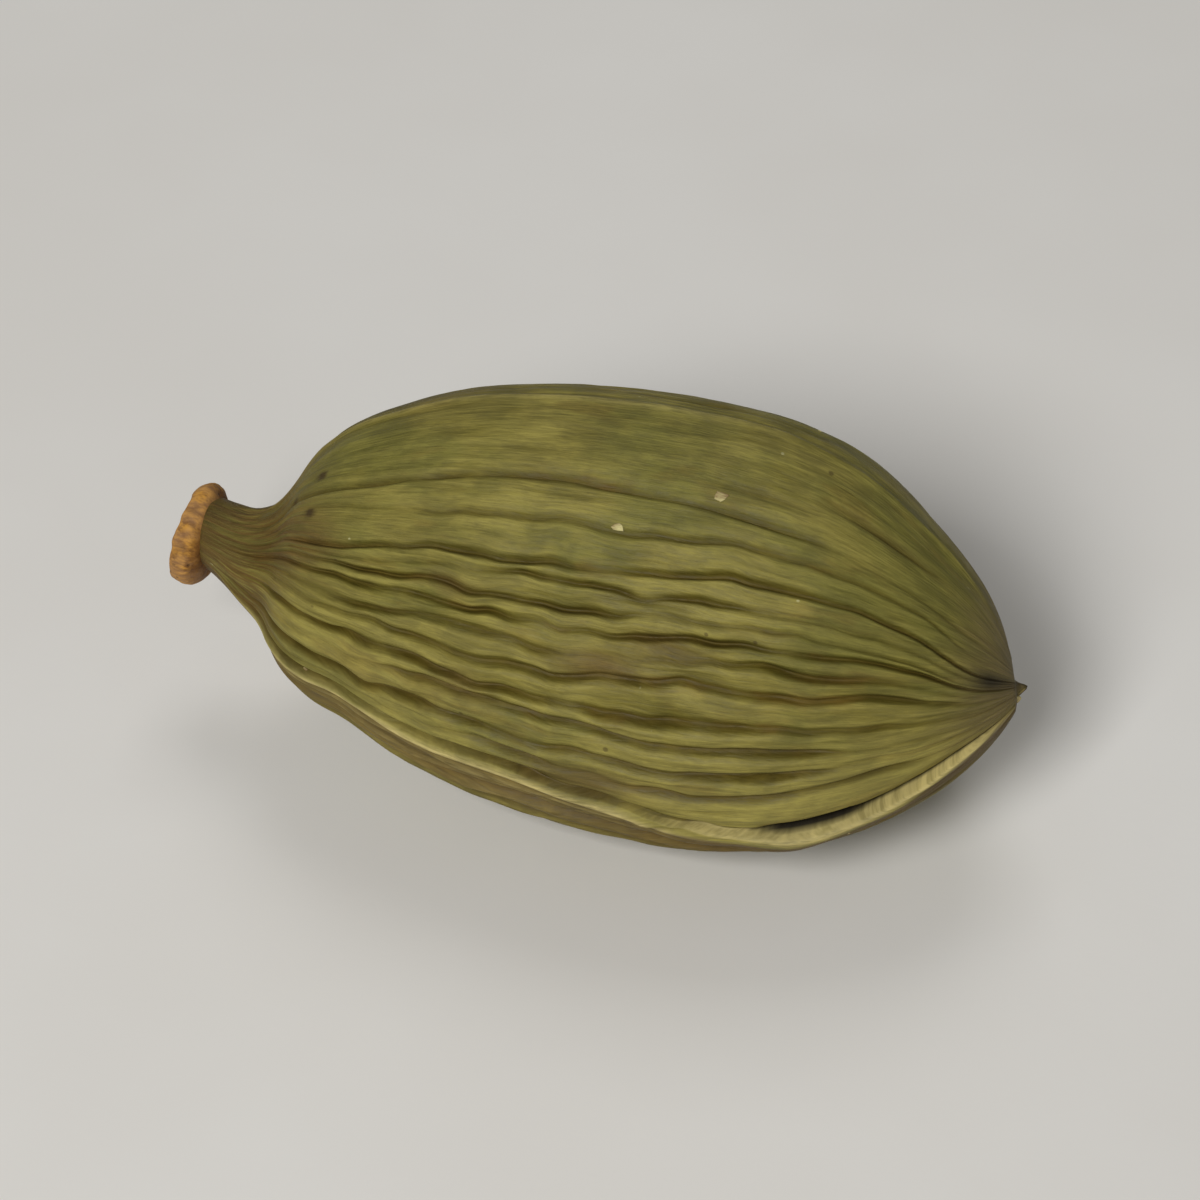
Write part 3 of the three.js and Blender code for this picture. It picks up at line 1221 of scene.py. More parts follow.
@dataclass
class Husk:
    """The ribbed husk with its seams, its neck and the seam that has sprung open.

    Depths, heights and stations are in millimetres, and widths round the pod are in ribs.
    """

    form: PodForm = field(default_factory=PodForm)
    rings: int = 188
    painted_radius: float = 4.0
    seed: int = 7

    crease_depth: float = 0.19
    full_relief_girth: float = 0.55
    groove_half_width: float = 0.11
    valley_reach: float = 0.7
    valley_roundness: tuple[float, float] = (0.62, 0.32)
    valley_sharpness: tuple[float, float] = (1.25, 2.15)
    crest_lean: float = 0.66
    crest_lean_spread: float = 0.1
    crest_lean_varies: Ripple = Ripple(RIBS, 2.6, 27)
    crease_starts: tuple[float, float] = (1.3, 2.6)
    crease_ends: tuple[float, float] = (12.6, 15.4)
    crease_fade: float = 1.6
    coming: float = 0.95
    coming_spread: float = 0.35
    coming_varies: tuple[Ripple, ...] = (Ripple(RIBS, 1.7, 25), Ripple(RIBS, 0.6, 29))
    coming_limits: tuple[float, float] = (0.15, 1.5)

    marked_wrinkles: tuple[Wrinkle, ...] = (
        Wrinkle(12.0, 12.0, 14.5, 0.15, 0.2),
        Wrinkle(11.5, 9.9, 12.3, 0.09, 0.14),
    )
    wrinkle_starts: tuple[float, float] = (2.4, 11.5)
    wrinkle_lengths: tuple[float, float] = (1.2, 4.2)
    wrinkle_depths: tuple[float, float] = (0.02, 0.06)
    wrinkle_half_widths: tuple[float, float] = (0.06, 0.1)
    wrinkle_apart: float = 0.5
    calm_ribs: tuple[float, float] = (10.0, 19.0)
    calm_share: float = 0.3

    dents: tuple[tuple[float, Ripple], ...] = (
        (0.035, Ripple(9, 3.0, 21)),
        (0.02, Ripple(60, 1.1, 22)),
        (0.012, Ripple(126, 0.5, 24)),
    )
    pleats: tuple[tuple[float, Ripple], ...] = (
        (0.016, Ripple(126, 1.9, 23)),
        (0.008, Ripple(252, 1.3, 28)),
    )
    pleats_on_top: float = 0.55
    neck_ridges: tuple[float, Ripple] = (0.08, Ripple(13, 1.6, 31))
    neck_fibres: tuple[float, Ripple] = (0.045, Ripple(42, 1.1, 32))

    keel_height: float = 0.12
    keel_half_width: float = 0.18
    top_keel_share: float = 0.6
    back_keel_share: float = 1.5
    seam_ridges: tuple[SeamRidge, ...] = (
        SeamRidge(-0.4, 0.09, 0.09, 0.35, Ripple(7, 1.1, 72)),
        SeamRidge(-0.9, 0.07, 0.1, 0.2, Ripple(7, 1.5, 73)),
        SeamRidge(-1.45, 0.06, 0.1, 0.1, Ripple(7, 1.2, 74)),
    )

    lip_start: tuple[float, float] = (9.4, 11.6)
    lip_end: tuple[float, float] = (15.3, 15.8)
    lip_height: float = 0.27
    lip_rises: tuple[float, float] = (11.4, 12.8)
    lip_widens: tuple[float, float] = (11.2, 12.6)
    lip_unevenness: tuple[float, Ripple] = (0.1, Ripple(3, 0.8, 26))
    lip_profile: tuple[tuple[float, float], ...] = (
        (-1.0, 0.0), (-0.7, 0.2), (-0.4, 0.62), (0.0, 0.85),
        (0.4, 1.0), (0.66, 0.98), (0.74, 0.85), (0.84, 0.0),
    )
    wide_cream: tuple[tuple[float, float], ...] = (
        (0.1, 0.0), (0.4, 0.25), (0.62, 0.92), (0.86, 0.92), (0.9, 0.0),
    )
    thin_cream: tuple[tuple[float, float], ...] = ((0.55, 0.0), (0.72, 0.8), (0.86, 0.8), (0.9, 0.0))

    gap_start: tuple[float, float] = (11.5, 12.3)
    gap_end: tuple[float, float] = (13.3, 14.0)
    gap_closes: tuple[float, float] = (15.3, 15.75)
    gap_left_open: float = 0.28
    gap_depth: float = 0.75
    gap_edges: tuple[float, float] = (0.84, 1.2)

    stains: tuple[tuple[float, float, float, float, float], ...] = (
        (8.9, 5.1, 0.8, 0.4, 0.9),
        (10.0, 6.0, 0.8, 0.4, 0.6),
        (8.7, 1.3, 1.2, 0.5, 0.8),
        (5.9, 6.9, 0.5, 0.25, 0.6),
        (13.3, 6.1, 0.7, 0.3, 0.4),
        (6.4, 3.5, 0.5, 0.6, 0.5),
        (3.0, 8.0, 0.6, 1.3, 0.6),
        (4.4, 15.0, 2.0, 1.2, 0.5),
    )
    spots: tuple[tuple[float, float, float], ...] = ((2.85, 9.0, 0.13), (2.9, 11.1, 0.12), (2.4, 10.3, 0.07))
    # The small pit before the beak is painted dark as shade.
    pit_at: tuple[float, float] = (6.6, 15.4)
    pit_reach: tuple[float, float] = (0.9, 0.3)
    pit_shade_strength: float = 0.85

    def placed(self, rib: Field, station: Field, radius: Field) -> SkinPlaces:
        """Works out how some places lie to the creases.

        Args:
            rib: The ribs round the pod.
            station: The stations along it.
            radius: The outline's radius at each.

        Returns:
            The places.
        """
        creases = self.form.creases
        paths, _ = creases.tables()
        straight = creases.read(paths, rib, station)
        keel_path = creases.read(paths, 0.0 * rib, station)
        narrow = np.minimum(1.0, radius / (self.full_relief_girth * self.form.girth))
        return SkinPlaces(rib, station, radius, straight, keel_path, narrow)

    def wrinkles(self) -> list[Wrinkle]:
        """Draws the short creases between the regular ones, after the marked ones.

        Returns:
            All of the short creases.
        """
        draw = np.random.default_rng(self.seed)
        drawn = list(self.marked_wrinkles)
        for rib in np.arange(0.0, RIBS, self.wrinkle_apart):
            start = draw.uniform(*self.wrinkle_starts)
            end = start + draw.uniform(*self.wrinkle_lengths)
            depth = draw.uniform(*self.wrinkle_depths)
            if self.calm_ribs[0] <= rib < self.calm_ribs[1]:
                depth *= self.calm_share
            at = rib + draw.uniform(0.0, self.wrinkle_apart)
            drawn.append(Wrinkle(at, start, end, depth, draw.uniform(*self.wrinkle_half_widths)))
        return drawn

    def strength(self, crease: Field, station: Field) -> Field:
        """Gives the share of the usual depth that some creases have on their way.

        Args:
            crease: The number of the crease at each place.
            station: The stations.

        Returns:
            Each crease's share there: its own, fading at its ends, and coming and going between.
        """
        creases = self.form.creases
        _, shares = creases.tables()
        place = crease.astype(int) % RIBS
        draw = np.random.default_rng(self.seed + 2)
        starts = draw.uniform(*self.crease_starts, RIBS)[place]
        ends = draw.uniform(*self.crease_ends, RIBS)[place]
        hidden = place >= RIBS_IN_A_VALVE
        fades = 0.85 * smooth(station, ends - self.crease_fade, ends) * hidden
        lasting = smooth(station, 0.0, starts) * (1.0 - fades)
        varied = sum(self.coming_spread * ripple.at(crease, station) for ripple in self.coming_varies)
        coming = np.clip(self.coming + varied, *self.coming_limits)
        return creases.read(shares, crease, station) * lasting * coming

    def ribbing(self, places: SkinPlaces) -> tuple[Field, Field, Field]:
        """Presses the creases in between the ribs.

        Args:
            places: The places of the skin.

        Returns:
            How deep the skin is sunk, how strong the crease's line of painted shade is, and how high on a
            rib it is, which paints the crests paler, partly as painted highlight, and the valleys darker as
            painted shade.
        """
        creases = self.form.creases
        paths, _ = creases.tables()
        station, level = places.station, places.level
        below = np.floor(places.rib)
        lower = creases.read(paths, below, station)
        spacing = creases.read(paths, below + 0.999, station) - lower
        from_lower = np.clip(places.straight - lower, 0.0, spacing)
        lean = self.crest_lean + self.crest_lean_spread * self.crest_lean_varies.at(below, station)
        rising = from_lower < lean * spacing
        crease = np.where(rising, below, below + 1.0)
        away = np.where(rising, from_lower, spacing - from_lower)
        reach = np.minimum(np.where(rising, lean, 1.0 - lean) * spacing, self.valley_reach)
        off = np.clip(away / reach, 0.0, 1.0)
        share = self.strength(crease, station)
        rounded = between(self.valley_roundness, smooth(level, 8.0, 12.0))
        sharpness = between(self.valley_sharpness, smooth(level, 5.0, 11.0))
        groove = mound(away, 0.0, self.groove_half_width)
        valley = rounded * (1.0 - off) ** sharpness + (1.0 - rounded) * groove
        sunk = self.crease_depth * share * places.narrow * valley
        # The crease's line, and each wrinkle's, is painted shade.
        crease_shade_line = share * groove
        for wrinkle in self.wrinkles():
            here = wrinkle.at(places.straight, station)
            sunk = sunk + wrinkle.depth * places.narrow * here
            crease_shade_line = np.maximum(crease_shade_line, here * wrinkle.depth / self.crease_depth)
        # Paler towards each crest and in a thin band just off each crease, partly as painted highlight;
        # darker down in the valleys as painted shade.
        crest = 1.0 - valley * share * 1.2 + 0.3 * mound(away, 0.27, 0.1) * share
        return sunk, crease_shade_line, crest

    def unevenness(self, places: SkinPlaces) -> Field:
        """Dents and pleats the skin, least on its top.

        Args:
            places: The places of the skin.

        Returns:
            How far the skin stands out there.
        """
        at = (places.straight, places.station)
        dented = sum(height * ripple.at(*at) for height, ripple in self.dents)
        pleated = sum(height * ripple.pleats(*at) for height, ripple in self.pleats)
        return dented + pleated * between((1.0, self.pleats_on_top), smooth(places.level, 10.0, 13.2))

    def neck_relief(self, places: SkinPlaces) -> Field:
        """Gathers the neck in ridges and fine fibres.

        Args:
            places: The places of the skin.

        Returns:
            How far the skin stands out there.
        """
        station = places.station
        height, ridges = self.neck_ridges
        fine_height, fibres = self.neck_fibres
        gathered = height * ridges.at(places.straight, station)
        gathered = gathered + fine_height * fibres.pleats(places.straight, station)
        return smooth(station, 0.85, 1.3) * (1.0 - smooth(station, 1.7, 3.4)) * gathered

    def keel(self, places: SkinPlaces, seam: float, height: float) -> Field:
        """Raises the rounded ridge along one seam.

        Args:
            places: The places of the skin.
            seam: The rib that the seam runs on.
            height: How high the ridge stands.

        Returns:
            How far it stands out at each place.
        """
        ends = smooth(places.station, 0.7, 1.8) * (1.0 - 0.7 * smooth(places.station, 14.2, 15.6))
        return height * ends * mound(ribs_from(places.straight, seam), 0.0, self.keel_half_width)

    def lip_share(self, station: Field) -> Field:
        """Tells how fully the front keel has become the sprung seam's lip, from 0 to 1."""
        return smooth(station, *self.lip_start) * (1.0 - smooth(station, *self.lip_end))

    def ridged(self, places: SkinPlaces) -> list[Field]:
        """Gives the share that each seam ridge has of its height.

        Args:
            places: The places of the skin.

        Returns:
            The shares there, for each ridge.
        """
        beside = smooth(places.station, 1.6, 3.0) * (1.0 - self.lip_share(places.station))
        return [ridge.at(places.from_keel, places.station) * beside for ridge in self.seam_ridges]

    def seam_relief(self, places: SkinPlaces) -> Field:
        """Raises the three keels, the fine ridges under the front one, and the lip.

        Args:
            places: The places of the skin.

        Returns:
            How far the skin stands out there.
        """
        station = places.station
        lip = self.lip_share(station)
        edge = np.interp(places.front, *zip(*self.lip_profile))
        spread, varies = self.lip_unevenness
        risen = between((0.4, 1.0), smooth(station, *self.lip_rises))
        risen = risen * np.minimum(1.0, places.radius / 1.6)
        lip_height = self.lip_height * risen * (1.0 + spread * varies.at(0.0 * places.rib, station))
        keel = self.keel(places, places.keel_path, self.keel_height)
        pairs = zip(self.seam_ridges, self.ridged(places))
        keel = keel + sum(ridge.height * here for ridge, here in pairs)
        top = self.keel(places, RIBS_IN_A_VALVE, self.top_keel_share * self.keel_height)
        back = self.keel(places, 2 * RIBS_IN_A_VALVE, self.back_keel_share * self.keel_height)
        return keel * (1.0 - lip) + lip_height * lip * edge + top + back

    def seam_gap(self, places: SkinPlaces) -> tuple[Field, Field]:
        """Opens the thin crack over the lip.

        Args:
            places: The places of the skin.

        Returns:
            How deep the skin is sunk there, and the painted shade inside the crack.
        """
        station, front = places.station, places.front
        opened = smooth(station, *self.gap_start)
        opened = opened * between((1.0, self.gap_left_open), smooth(station, *self.gap_end))
        opened = opened * (1.0 - smooth(station, *self.gap_closes))
        low_edge, high_edge = self.gap_edges
        high_edge = low_edge + (high_edge - low_edge) * (0.3 + 0.7 * opened)
        inside = smooth(front, low_edge - 0.04, low_edge + 0.04)
        inside = inside * (1.0 - smooth(front, high_edge, high_edge + 0.06))
        sunk = self.gap_depth * opened * inside * np.minimum(1.0, places.radius / 2.0)
        # Painted shade inside the crack, from just under its lower edge.
        shade_edge = low_edge - 0.015 - 0.03 * opened
        dark = smooth(front, shade_edge, shade_edge + 0.025)
        dark = dark * (1.0 - smooth(front, high_edge, high_edge + 0.07))
        return sunk, dark * smooth(opened, 0.02, 0.3)

    def seam_tone(self, places: SkinPlaces) -> Field:
        """Tells where the skin has the straw tone of the seams.

        Args:
            places: The places of the skin.

        Returns:
            The tone's share there.
        """
        lip = self.lip_share(places.station)
        seams = ((places.keel_path, 1.0), (RIBS_IN_A_VALVE, 0.3), (2 * RIBS_IN_A_VALVE, 0.7))
        pale = sum(share * mound(ribs_from(places.straight, seam), 0.0, 0.1) for seam, share in seams)
        pairs = zip(self.seam_ridges, self.ridged(places))
        pale = np.maximum(pale, sum(ridge.paleness * here for ridge, here in pairs))
        wide = np.interp(places.front, *zip(*self.wide_cream))
        thin = np.interp(places.front, *zip(*self.thin_cream))
        cream = thin + (wide - thin) * smooth(places.station, *self.lip_widens)
        return (pale * (1.0 - lip) + cream * lip) * smooth(places.station, 0.9, 2.0)

    def stained_and_shaded(self, places: SkinPlaces) -> Field:
        """Tells where the skin is brown: on the face under the open seam, which is also painted shade there,
        and in stains.

        Args:
            places: The places of the skin.

        Returns:
            The share there of the brown and of the painted shade.
        """
        front = places.front
        # The face under the open seam: partly its own brown, partly painted shade.
        under_seam_shade = smooth(front, -4.0, -1.2) * (1.0 - smooth(front, -0.1, 0.25))
        under_seam_shade = under_seam_shade * between((0.85, 1.0), self.lip_share(places.station))
        stains = sum(
            share * mound(places.station, at, length) * mound(places.straight, up, width)
            for at, up, length, width, share in self.stains
        )
        return np.maximum(under_seam_shade, np.minimum(1.0, stains))

    def spotted(self, places: SkinPlaces) -> Field:
        """Tells where the few dark spots lie."""
        spots = sum(
            mound(places.station, at, size) * mound(places.straight, up, 2.6 * size)
            for at, up, size in self.spots
        )
        return smooth(spots, 0.25, 0.75)

    def pit_shade(self, places: SkinPlaces) -> Field:
        """Tells where the painted shade of the small pit before the beak lies."""
        (rib_at, station_at), (rib_reach, station_reach) = self.pit_at, self.pit_reach
        pit = self.pit_shade_strength * mound(places.station, station_at, station_reach)
        return pit * mound(ribs_from(places.straight, rib_at), 0.0, rib_reach)

    def paler_and_lit(self, places: SkinPlaces) -> Field:
        """Tells how much paler the crests are on the low ribs, most of all beside the neck: partly their own
        straw tone, partly painted light on the pod's lower side.
        """
        level, station = places.level, places.station
        beside_neck = smooth(station, 1.0, 2.0) * (1.0 - smooth(station, 3.5, 7.0))
        low = 0.45 * (1.0 - smooth(level, 2.5, 5.5))
        low = low + 0.5 * beside_neck * (1.0 - smooth(level, 4.0, 7.0))
        return low * smooth(level, -0.5, 0.5)

    def relief(self, rib: Field, station: Field, radius: Field) -> SkinRelief:
        """Works out the skin's relief at some places.

        Args:
            rib: The ribs round the pod.
            station: The stations along it.
            radius: The outline's radius at each.

        Returns:
            How far the skin stands out there, and its tones.
        """
        places = self.placed(rib, station, radius)
        sunk, crease_shade_line, crest = self.ribbing(places)
        gap_depth, crack_shade = self.seam_gap(places)
        ribbed = self.form.husk_share(station + 1.0) * (self.unevenness(places) * places.narrow - sunk)
        veins = self.pleats[0][1].pleats(places.straight, station)
        # Painted shade on the neck where it goes in under the stalk scar.
        shade_under_scar = 0.9 * (1.0 - smooth(station, 0.55, 0.95))
        return SkinRelief(
            stands_out=ribbed + self.seam_relief(places) - gap_depth + self.neck_relief(places),
            crest=np.clip(crest + 0.14 * veins + self.paler_and_lit(places), 0.0, 1.9),
            crease=np.clip(crease_shade_line + shade_under_scar, 0.0, 1.0),
            seam=np.clip(self.seam_tone(places), 0.0, 1.0),
            lip_face=self.stained_and_shaded(places),
            gap=np.clip(np.maximum(crack_shade, self.pit_shade(places)), 0.0, 1.0),
            spot=self.spotted(places),
            straight=places.straight,
        )

    def skin_point(self, rib: Field, station: Field, lift: float = 0.0) -> Field:
        """Finds points on the skin.

        Args:
            rib: The ribs round the pod.
            station: The stations along it.
            lift: How far over the skin the points are.

        Returns:
            The points in the pod's own axes.
        """
        rib, station = np.broadcast_arrays(np.asarray(rib, float), np.asarray(station, float))
        radius = self.form.radius_at(station)
        relief = self.relief(rib, station, radius)
        return self.form.place(rib, station, radius, relief.stands_out + lift)

    def columns(self) -> Field:
        """Spaces the columns round the pod: closest at the sprung seam, then on the ribs in sight.

        Returns:
            The rib of each column, from 0 up to RIBS.
        """
        spans = (
            (0.0, 0.4, 0.05), (0.4, 0.68, 0.035), (0.68, 0.9, 0.0125), (0.9, 1.5, 0.035),
            (1.5, 13.0, 0.075), (13.0, 14.0, 0.035), (14.0, 20.0, 0.085), (20.0, 37.0, 0.12),
            (37.0, 40.0, 0.09), (40.0, 41.99, 0.05),
        )
        return np.concatenate([np.arange(start, end - 1e-6, gap) for start, end, gap in spans])

    def grid(self) -> tuple[Field, Field, Field]:
        """Gives the rib, the station and the outline's radius at every point of the mesh."""
        radii, stations = self.form.outline(self.rings)
        rib, station = np.meshgrid(self.columns(), stations)
        return rib, station, np.broadcast_to(radii[:, None], rib.shape)

    def skin(self) -> Field:
        """Works out every point of the mesh, as rings by columns by 3."""
        rib, station, radius = self.grid()
        return self.form.place(rib, station, radius, self.relief(rib, station, radius).stands_out)

    def build(self, seat: Seat, material: bpy.types.Material) -> bpy.types.Object:
        """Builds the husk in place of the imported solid.

        Args:
            seat: Where the pod lies.
            material: The husk's finish.

        Returns:
            The husk's object.
        """
        skin = self.skin()
        draft = MeshDraft()
        draft.add_skin(skin, skin[0].mean(axis=0), skin[-1].mean(axis=0))
        piece = draft.make("husk", seat, material)
        self.dress(piece)
        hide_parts(POD_NODE)
        return piece

    def dress(self, piece: bpy.types.Object) -> None:
        """Writes the tones' masks to the husk's mesh.

        Args:
            piece: The husk's object.
        """
        rib, station, radius = self.grid()
        relief = self.relief(rib, station, radius)
        turn = relief.straight / RIBS * FULL_TURN
        across = [self.painted_radius * np.cos(turn), self.painted_radius * np.sin(turn)]
        grown = np.stack([*across, station], axis=-1).reshape(-1, 3)
        poles = [[0.0, 0.0, station[0, 0]], [0.0, 0.0, station[-1, 0]]]
        write_mask(piece, Mask.GROWN, np.concatenate([grown, poles]))
        tones = {
            Mask.CREST_LIGHT: relief.crest,
            Mask.CREASE: relief.crease,
            Mask.SEAM: relief.seam,
            Mask.BROWN_AND_UNDER_SEAM_SHADE: relief.lip_face,
            Mask.GAP_SHADE: relief.gap,
            Mask.SPOT: relief.spot,
            Mask.NECK_BROWN_AND_SCAR_SHADE: 1.0 - smooth(station - 0.9 * mound(relief.straight, 7.2, 1.8), 1.5, 3.3),
            Mask.TIP: 0.85 * smooth(station, 14.3, 15.9),
        }
        for mask, values in tones.items():
            write_mask(piece, mask, np.append(values.ravel(), [values[0, 0], values[-1, 0]]))


@dataclass
class StalkScar:
    """The flared corky scar where the stalk broke away, hollow on its outer face.

    Sizes are in millimetres. The outline is given as radius and station.
    """

    form: PodForm = field(default_factory=PodForm)
    outline: tuple[tuple[float, float], ...] = (
        (0.03, 0.3), (0.33, 0.26), (0.58, 0.14), (0.74, 0.05), (0.84, 0.05), (0.9, 0.14), (0.92, 0.26),
        (0.89, 0.38), (0.81, 0.47), (0.7, 0.54), (0.5, 0.58), (0.03, 0.59),
    )
    rings: int = 110
    columns: int = 200
    lean: float = 0.14
    drop: float = 0.26
    furrows: tuple[tuple[float, Ripple], ...] = (
        (0.09, Ripple(5, 1.4, 41)),
        (0.05, Ripple(11, 0.8, 42)),
        (0.016, Ripple(34, 0.3, 43)),
        (0.01, Ripple(84, 0.14, 44)),
    )
    torn_rim: Ripple = Ripple(30, 4.0, 45)

    def build(self, seat: Seat, material: bpy.types.Material) -> bpy.types.Object:
        """Builds the scar round the end of the neck.

        Args:
            seat: Where the pod lies.
            material: The scar's finish.

        Returns:
            The scar's object.
        """
        radii, stations = eased_through(np.array(self.outline), self.rings).T
        rib, station = np.meshgrid(np.arange(self.columns) / self.columns * RIBS, stations)
        radius = np.broadcast_to(radii[:, None], rib.shape)
        outer = smooth(radius, 0.25, 0.8)
        along = np.linspace(0.0, 3.0, self.rings)[:, None] + 0.0 * rib
        uneven = sum(height * ripple.at(rib, along) for height, ripple in self.furrows)
        torn = 0.07 * self.torn_rim.at(rib, along * 0.0) * mound(along, 0.85, 0.35)
        reach = radius * (1.0 + outer * uneven)
        turn = rib / RIBS * FULL_TURN + self.form.front_seam_turn
        leaning = self.lean * reach * (np.sin(turn) - np.cos(turn)) / np.sqrt(2.0)
        skin = self.form.about_axis(turn, station, reach)
        skin[..., 0] += torn + leaning
        skin[..., 2] -= self.drop
        draft = MeshDraft()
        draft.add_skin(skin, skin[0].mean(axis=0), skin[-1].mean(axis=0))
        piece = draft.make("stalk_scar", seat, material)
        grown = np.stack([reach * np.cos(turn), reach * np.sin(turn), station], axis=-1)
        write_mask(piece, Mask.GROWN, np.concatenate([grown.reshape(-1, 3), grown[0, :1], grown[-1, :1]]))
        tones = {
            # The rim's raised furrows, painted paler, partly as highlight.
            Mask.CREST_LIGHT: mound(along, 0.95, 0.3) * smooth(uneven, -0.15, 0.05),
            # Painted shade where the scar turns in to the neck.
            Mask.NECK_BROWN_AND_SCAR_SHADE: smooth(station, 0.36, 0.52),
            # Painted shade in the furrows' hollows.
            Mask.CREASE: smooth(-uneven, 0.05, 0.14) * outer,
        }
        for mask, values in tones.items():
            write_mask(piece, mask, np.append(values.ravel(), [values[0, 0], values[-1, 0]]))
        return piece


@dataclass
class DryBeak:
    """The dry remains of the flower: small papery pads round the husk's tip.

    Each pad has its turn round the axis in degrees, the station where it starts, its length and its
    distance from the axis.
    """

    form: PodForm = field(default_factory=PodForm)
    turns: tuple[float, ...] = (-22.0, 30.0, 112.0, 190.0, 268.0)
    starts: tuple[float, ...] = (15.4, 15.36, 15.4, 15.4, 15.4)
    lengths: tuple[float, ...] = (0.4, 0.34, 0.42, 0.4, 0.45)
    distances: tuple[float, ...] = (0.38, 0.32, 0.2, 0.2, 0.2)
    half_width: float = 0.12
    thickness: float = 0.075
    rings: int = 18
    columns: int = 20
    unevenness: float = 0.16
    seed: int = 51

    def build(self, seat: Seat, material: bpy.types.Material) -> bpy.types.Object:
        """Builds the ends of the valves, each a small bent pad rooted in the husk.

        Args:
            seat: Where the pod lies.
            material: The paper's finish.

        Returns:
            The object that holds them all.
        """
        draft = MeshDraft()
        draw = np.random.default_rng(self.seed)
        angle = np.arange(self.columns) / self.columns * FULL_TURN
        pads = zip(self.turns, self.starts, self.lengths, self.distances)
        for turn, start, length, distance in pads:
            along = np.linspace(0.0, 1.0, self.rings)[:, None]
            swell = np.sqrt(np.clip(1.0 - (2.0 * along - 1.0) ** 2, 0.0, 1.0)) + 0.02
            swell = swell * (1.0 + self.unevenness * draw.uniform(-1, 1, (1, self.columns)))
            wide = self.half_width * swell * np.cos(angle)
            deep = self.thickness * swell * np.sin(angle)
            station = start + length * along + 0.0 * angle
            apart = distance * (1.0 - 0.25 * along) + 0.05 * np.sin(np.pi * along) + deep
            skin = self.form.about_axis(np.radians(turn) + 0.0 * apart, station, apart)
            skin[..., 1] -= wide * np.sin(np.radians(turn))
            skin[..., 2] -= wide * np.cos(np.radians(turn))
            draft.add_skin(skin, skin[0].mean(axis=0), skin[-1].mean(axis=0))
        return draft.make("dry_beak", seat, material)


@dataclass
class SkinFlakes:
    """Tiny papery flakes that have lifted from the skin."""

    marked: tuple[tuple[float, float, float], ...] = ((13.12, 10.36, 0.1), (12.12, 8.72, 0.085))
    strewn: int = 8
    radii: tuple[float, float] = (0.018, 0.03)
    thickness: float = 0.006
    corners: int = 9
    seed: int = 61

    def build(self, husk: Husk, seat: Seat, material: bpy.types.Material) -> bpy.types.Object:
        """Lays the flakes on the husk.

        Args:
            husk: The husk that they lie on.
            seat: Where the pod lies.
            material: The paper's finish.

        Returns:
            The object that holds them all.
        """
        draw = np.random.default_rng(self.seed)
        spots = list(self.marked)
        for _ in range(self.strewn):
            spots.append((draw.uniform(0.0, RIBS), draw.uniform(3.0, 14.0), draw.uniform(*self.radii)))
        draft = MeshDraft()
        for rib, station, radius in spots:
            middle, ahead, aside = husk.skin_point(
                np.array([rib, rib, rib + 0.05]), np.array([station, station + 0.05, station])
            )
            along = (ahead - middle) / np.linalg.norm(ahead - middle)
            out = np.cross(along, aside - middle)
            out = out / np.linalg.norm(out)
            across = np.cross(out, along)
            angle = np.arange(self.corners) / self.corners * FULL_TURN
            ragged = radius * (1.0 + 0.35 * draw.uniform(-1, 1, self.corners))
            lengthwise = np.outer(1.5 * ragged * np.cos(angle), along)
            rim = lengthwise + np.outer(0.8 * ragged * np.sin(angle), across)
            rings = [
                middle + 0.9 * rim - self.thickness * out,
                middle + rim + 0.3 * self.thickness * out,
                middle + 0.88 * rim + self.thickness * out,
                middle + 0.5 * rim + 1.2 * self.thickness * out,
            ]
            under, over = middle - self.thickness * out, middle + 1.3 * self.thickness * out
            draft.add_skin(np.array(rings), under, over)
        return draft.make("skin_flakes", seat, material)


@dataclass
class LooseFibres:
    """Fine dry fibres that stand away at the neck.

    Each is a rib, a station where it springs, a length and the way it turns as it goes.
    """

    strands: tuple[tuple[float, float, float, float], ...] = (
        (21.0, 1.1, 0.6, -0.8), (27.5, 1.2, 0.7, 0.5), (33.0, 1.1, 0.6, -0.5),
    )
    thickness: float = 0.012
    steps: int = 9
    sides: int = 6

    def build(self, husk: Husk, seat: Seat, material: bpy.types.Material) -> bpy.types.Object:
        """Builds the fibres as fine tapered tubes.

        Args:
            husk: The husk that they spring from.
            seat: Where the pod lies.
            material: The paper's finish.

        Returns:
            The object that holds them all.
        """
        draft = MeshDraft()
        angle = np.arange(self.sides) / self.sides * FULL_TURN
        for rib, station, length, sway in self.strands:
            share = np.linspace(0.0, 1.0, self.steps)
            lift = 0.12 * np.sin(np.pi * np.minimum(1.0, share * 0.85)) - 0.01
            ribs, stations = rib + sway * share**2, station + length * share
            path = np.array([husk.skin_point(r, s, l) for r, s, l in zip(ribs, stations, lift)])
            heading = np.gradient(path, axis=0)
            heading /= np.linalg.norm(heading, axis=1, keepdims=True)
            side = np.cross(heading, (0.0, 0.0, 1.0))
            side /= np.linalg.norm(side, axis=1, keepdims=True)
            other = np.cross(heading, side)
            taper = self.thickness * (1.0 - 0.75 * share)[:, None, None]
            cosine, sine = np.cos(angle)[None, :, None], np.sin(angle)[None, :, None]
            rings = path[:, None] + taper * (cosine * side[:, None] + sine * other[:, None])
            draft.add_skin(rings, path[0], path[-1])
        return draft.make("loose_fibres", seat, material)


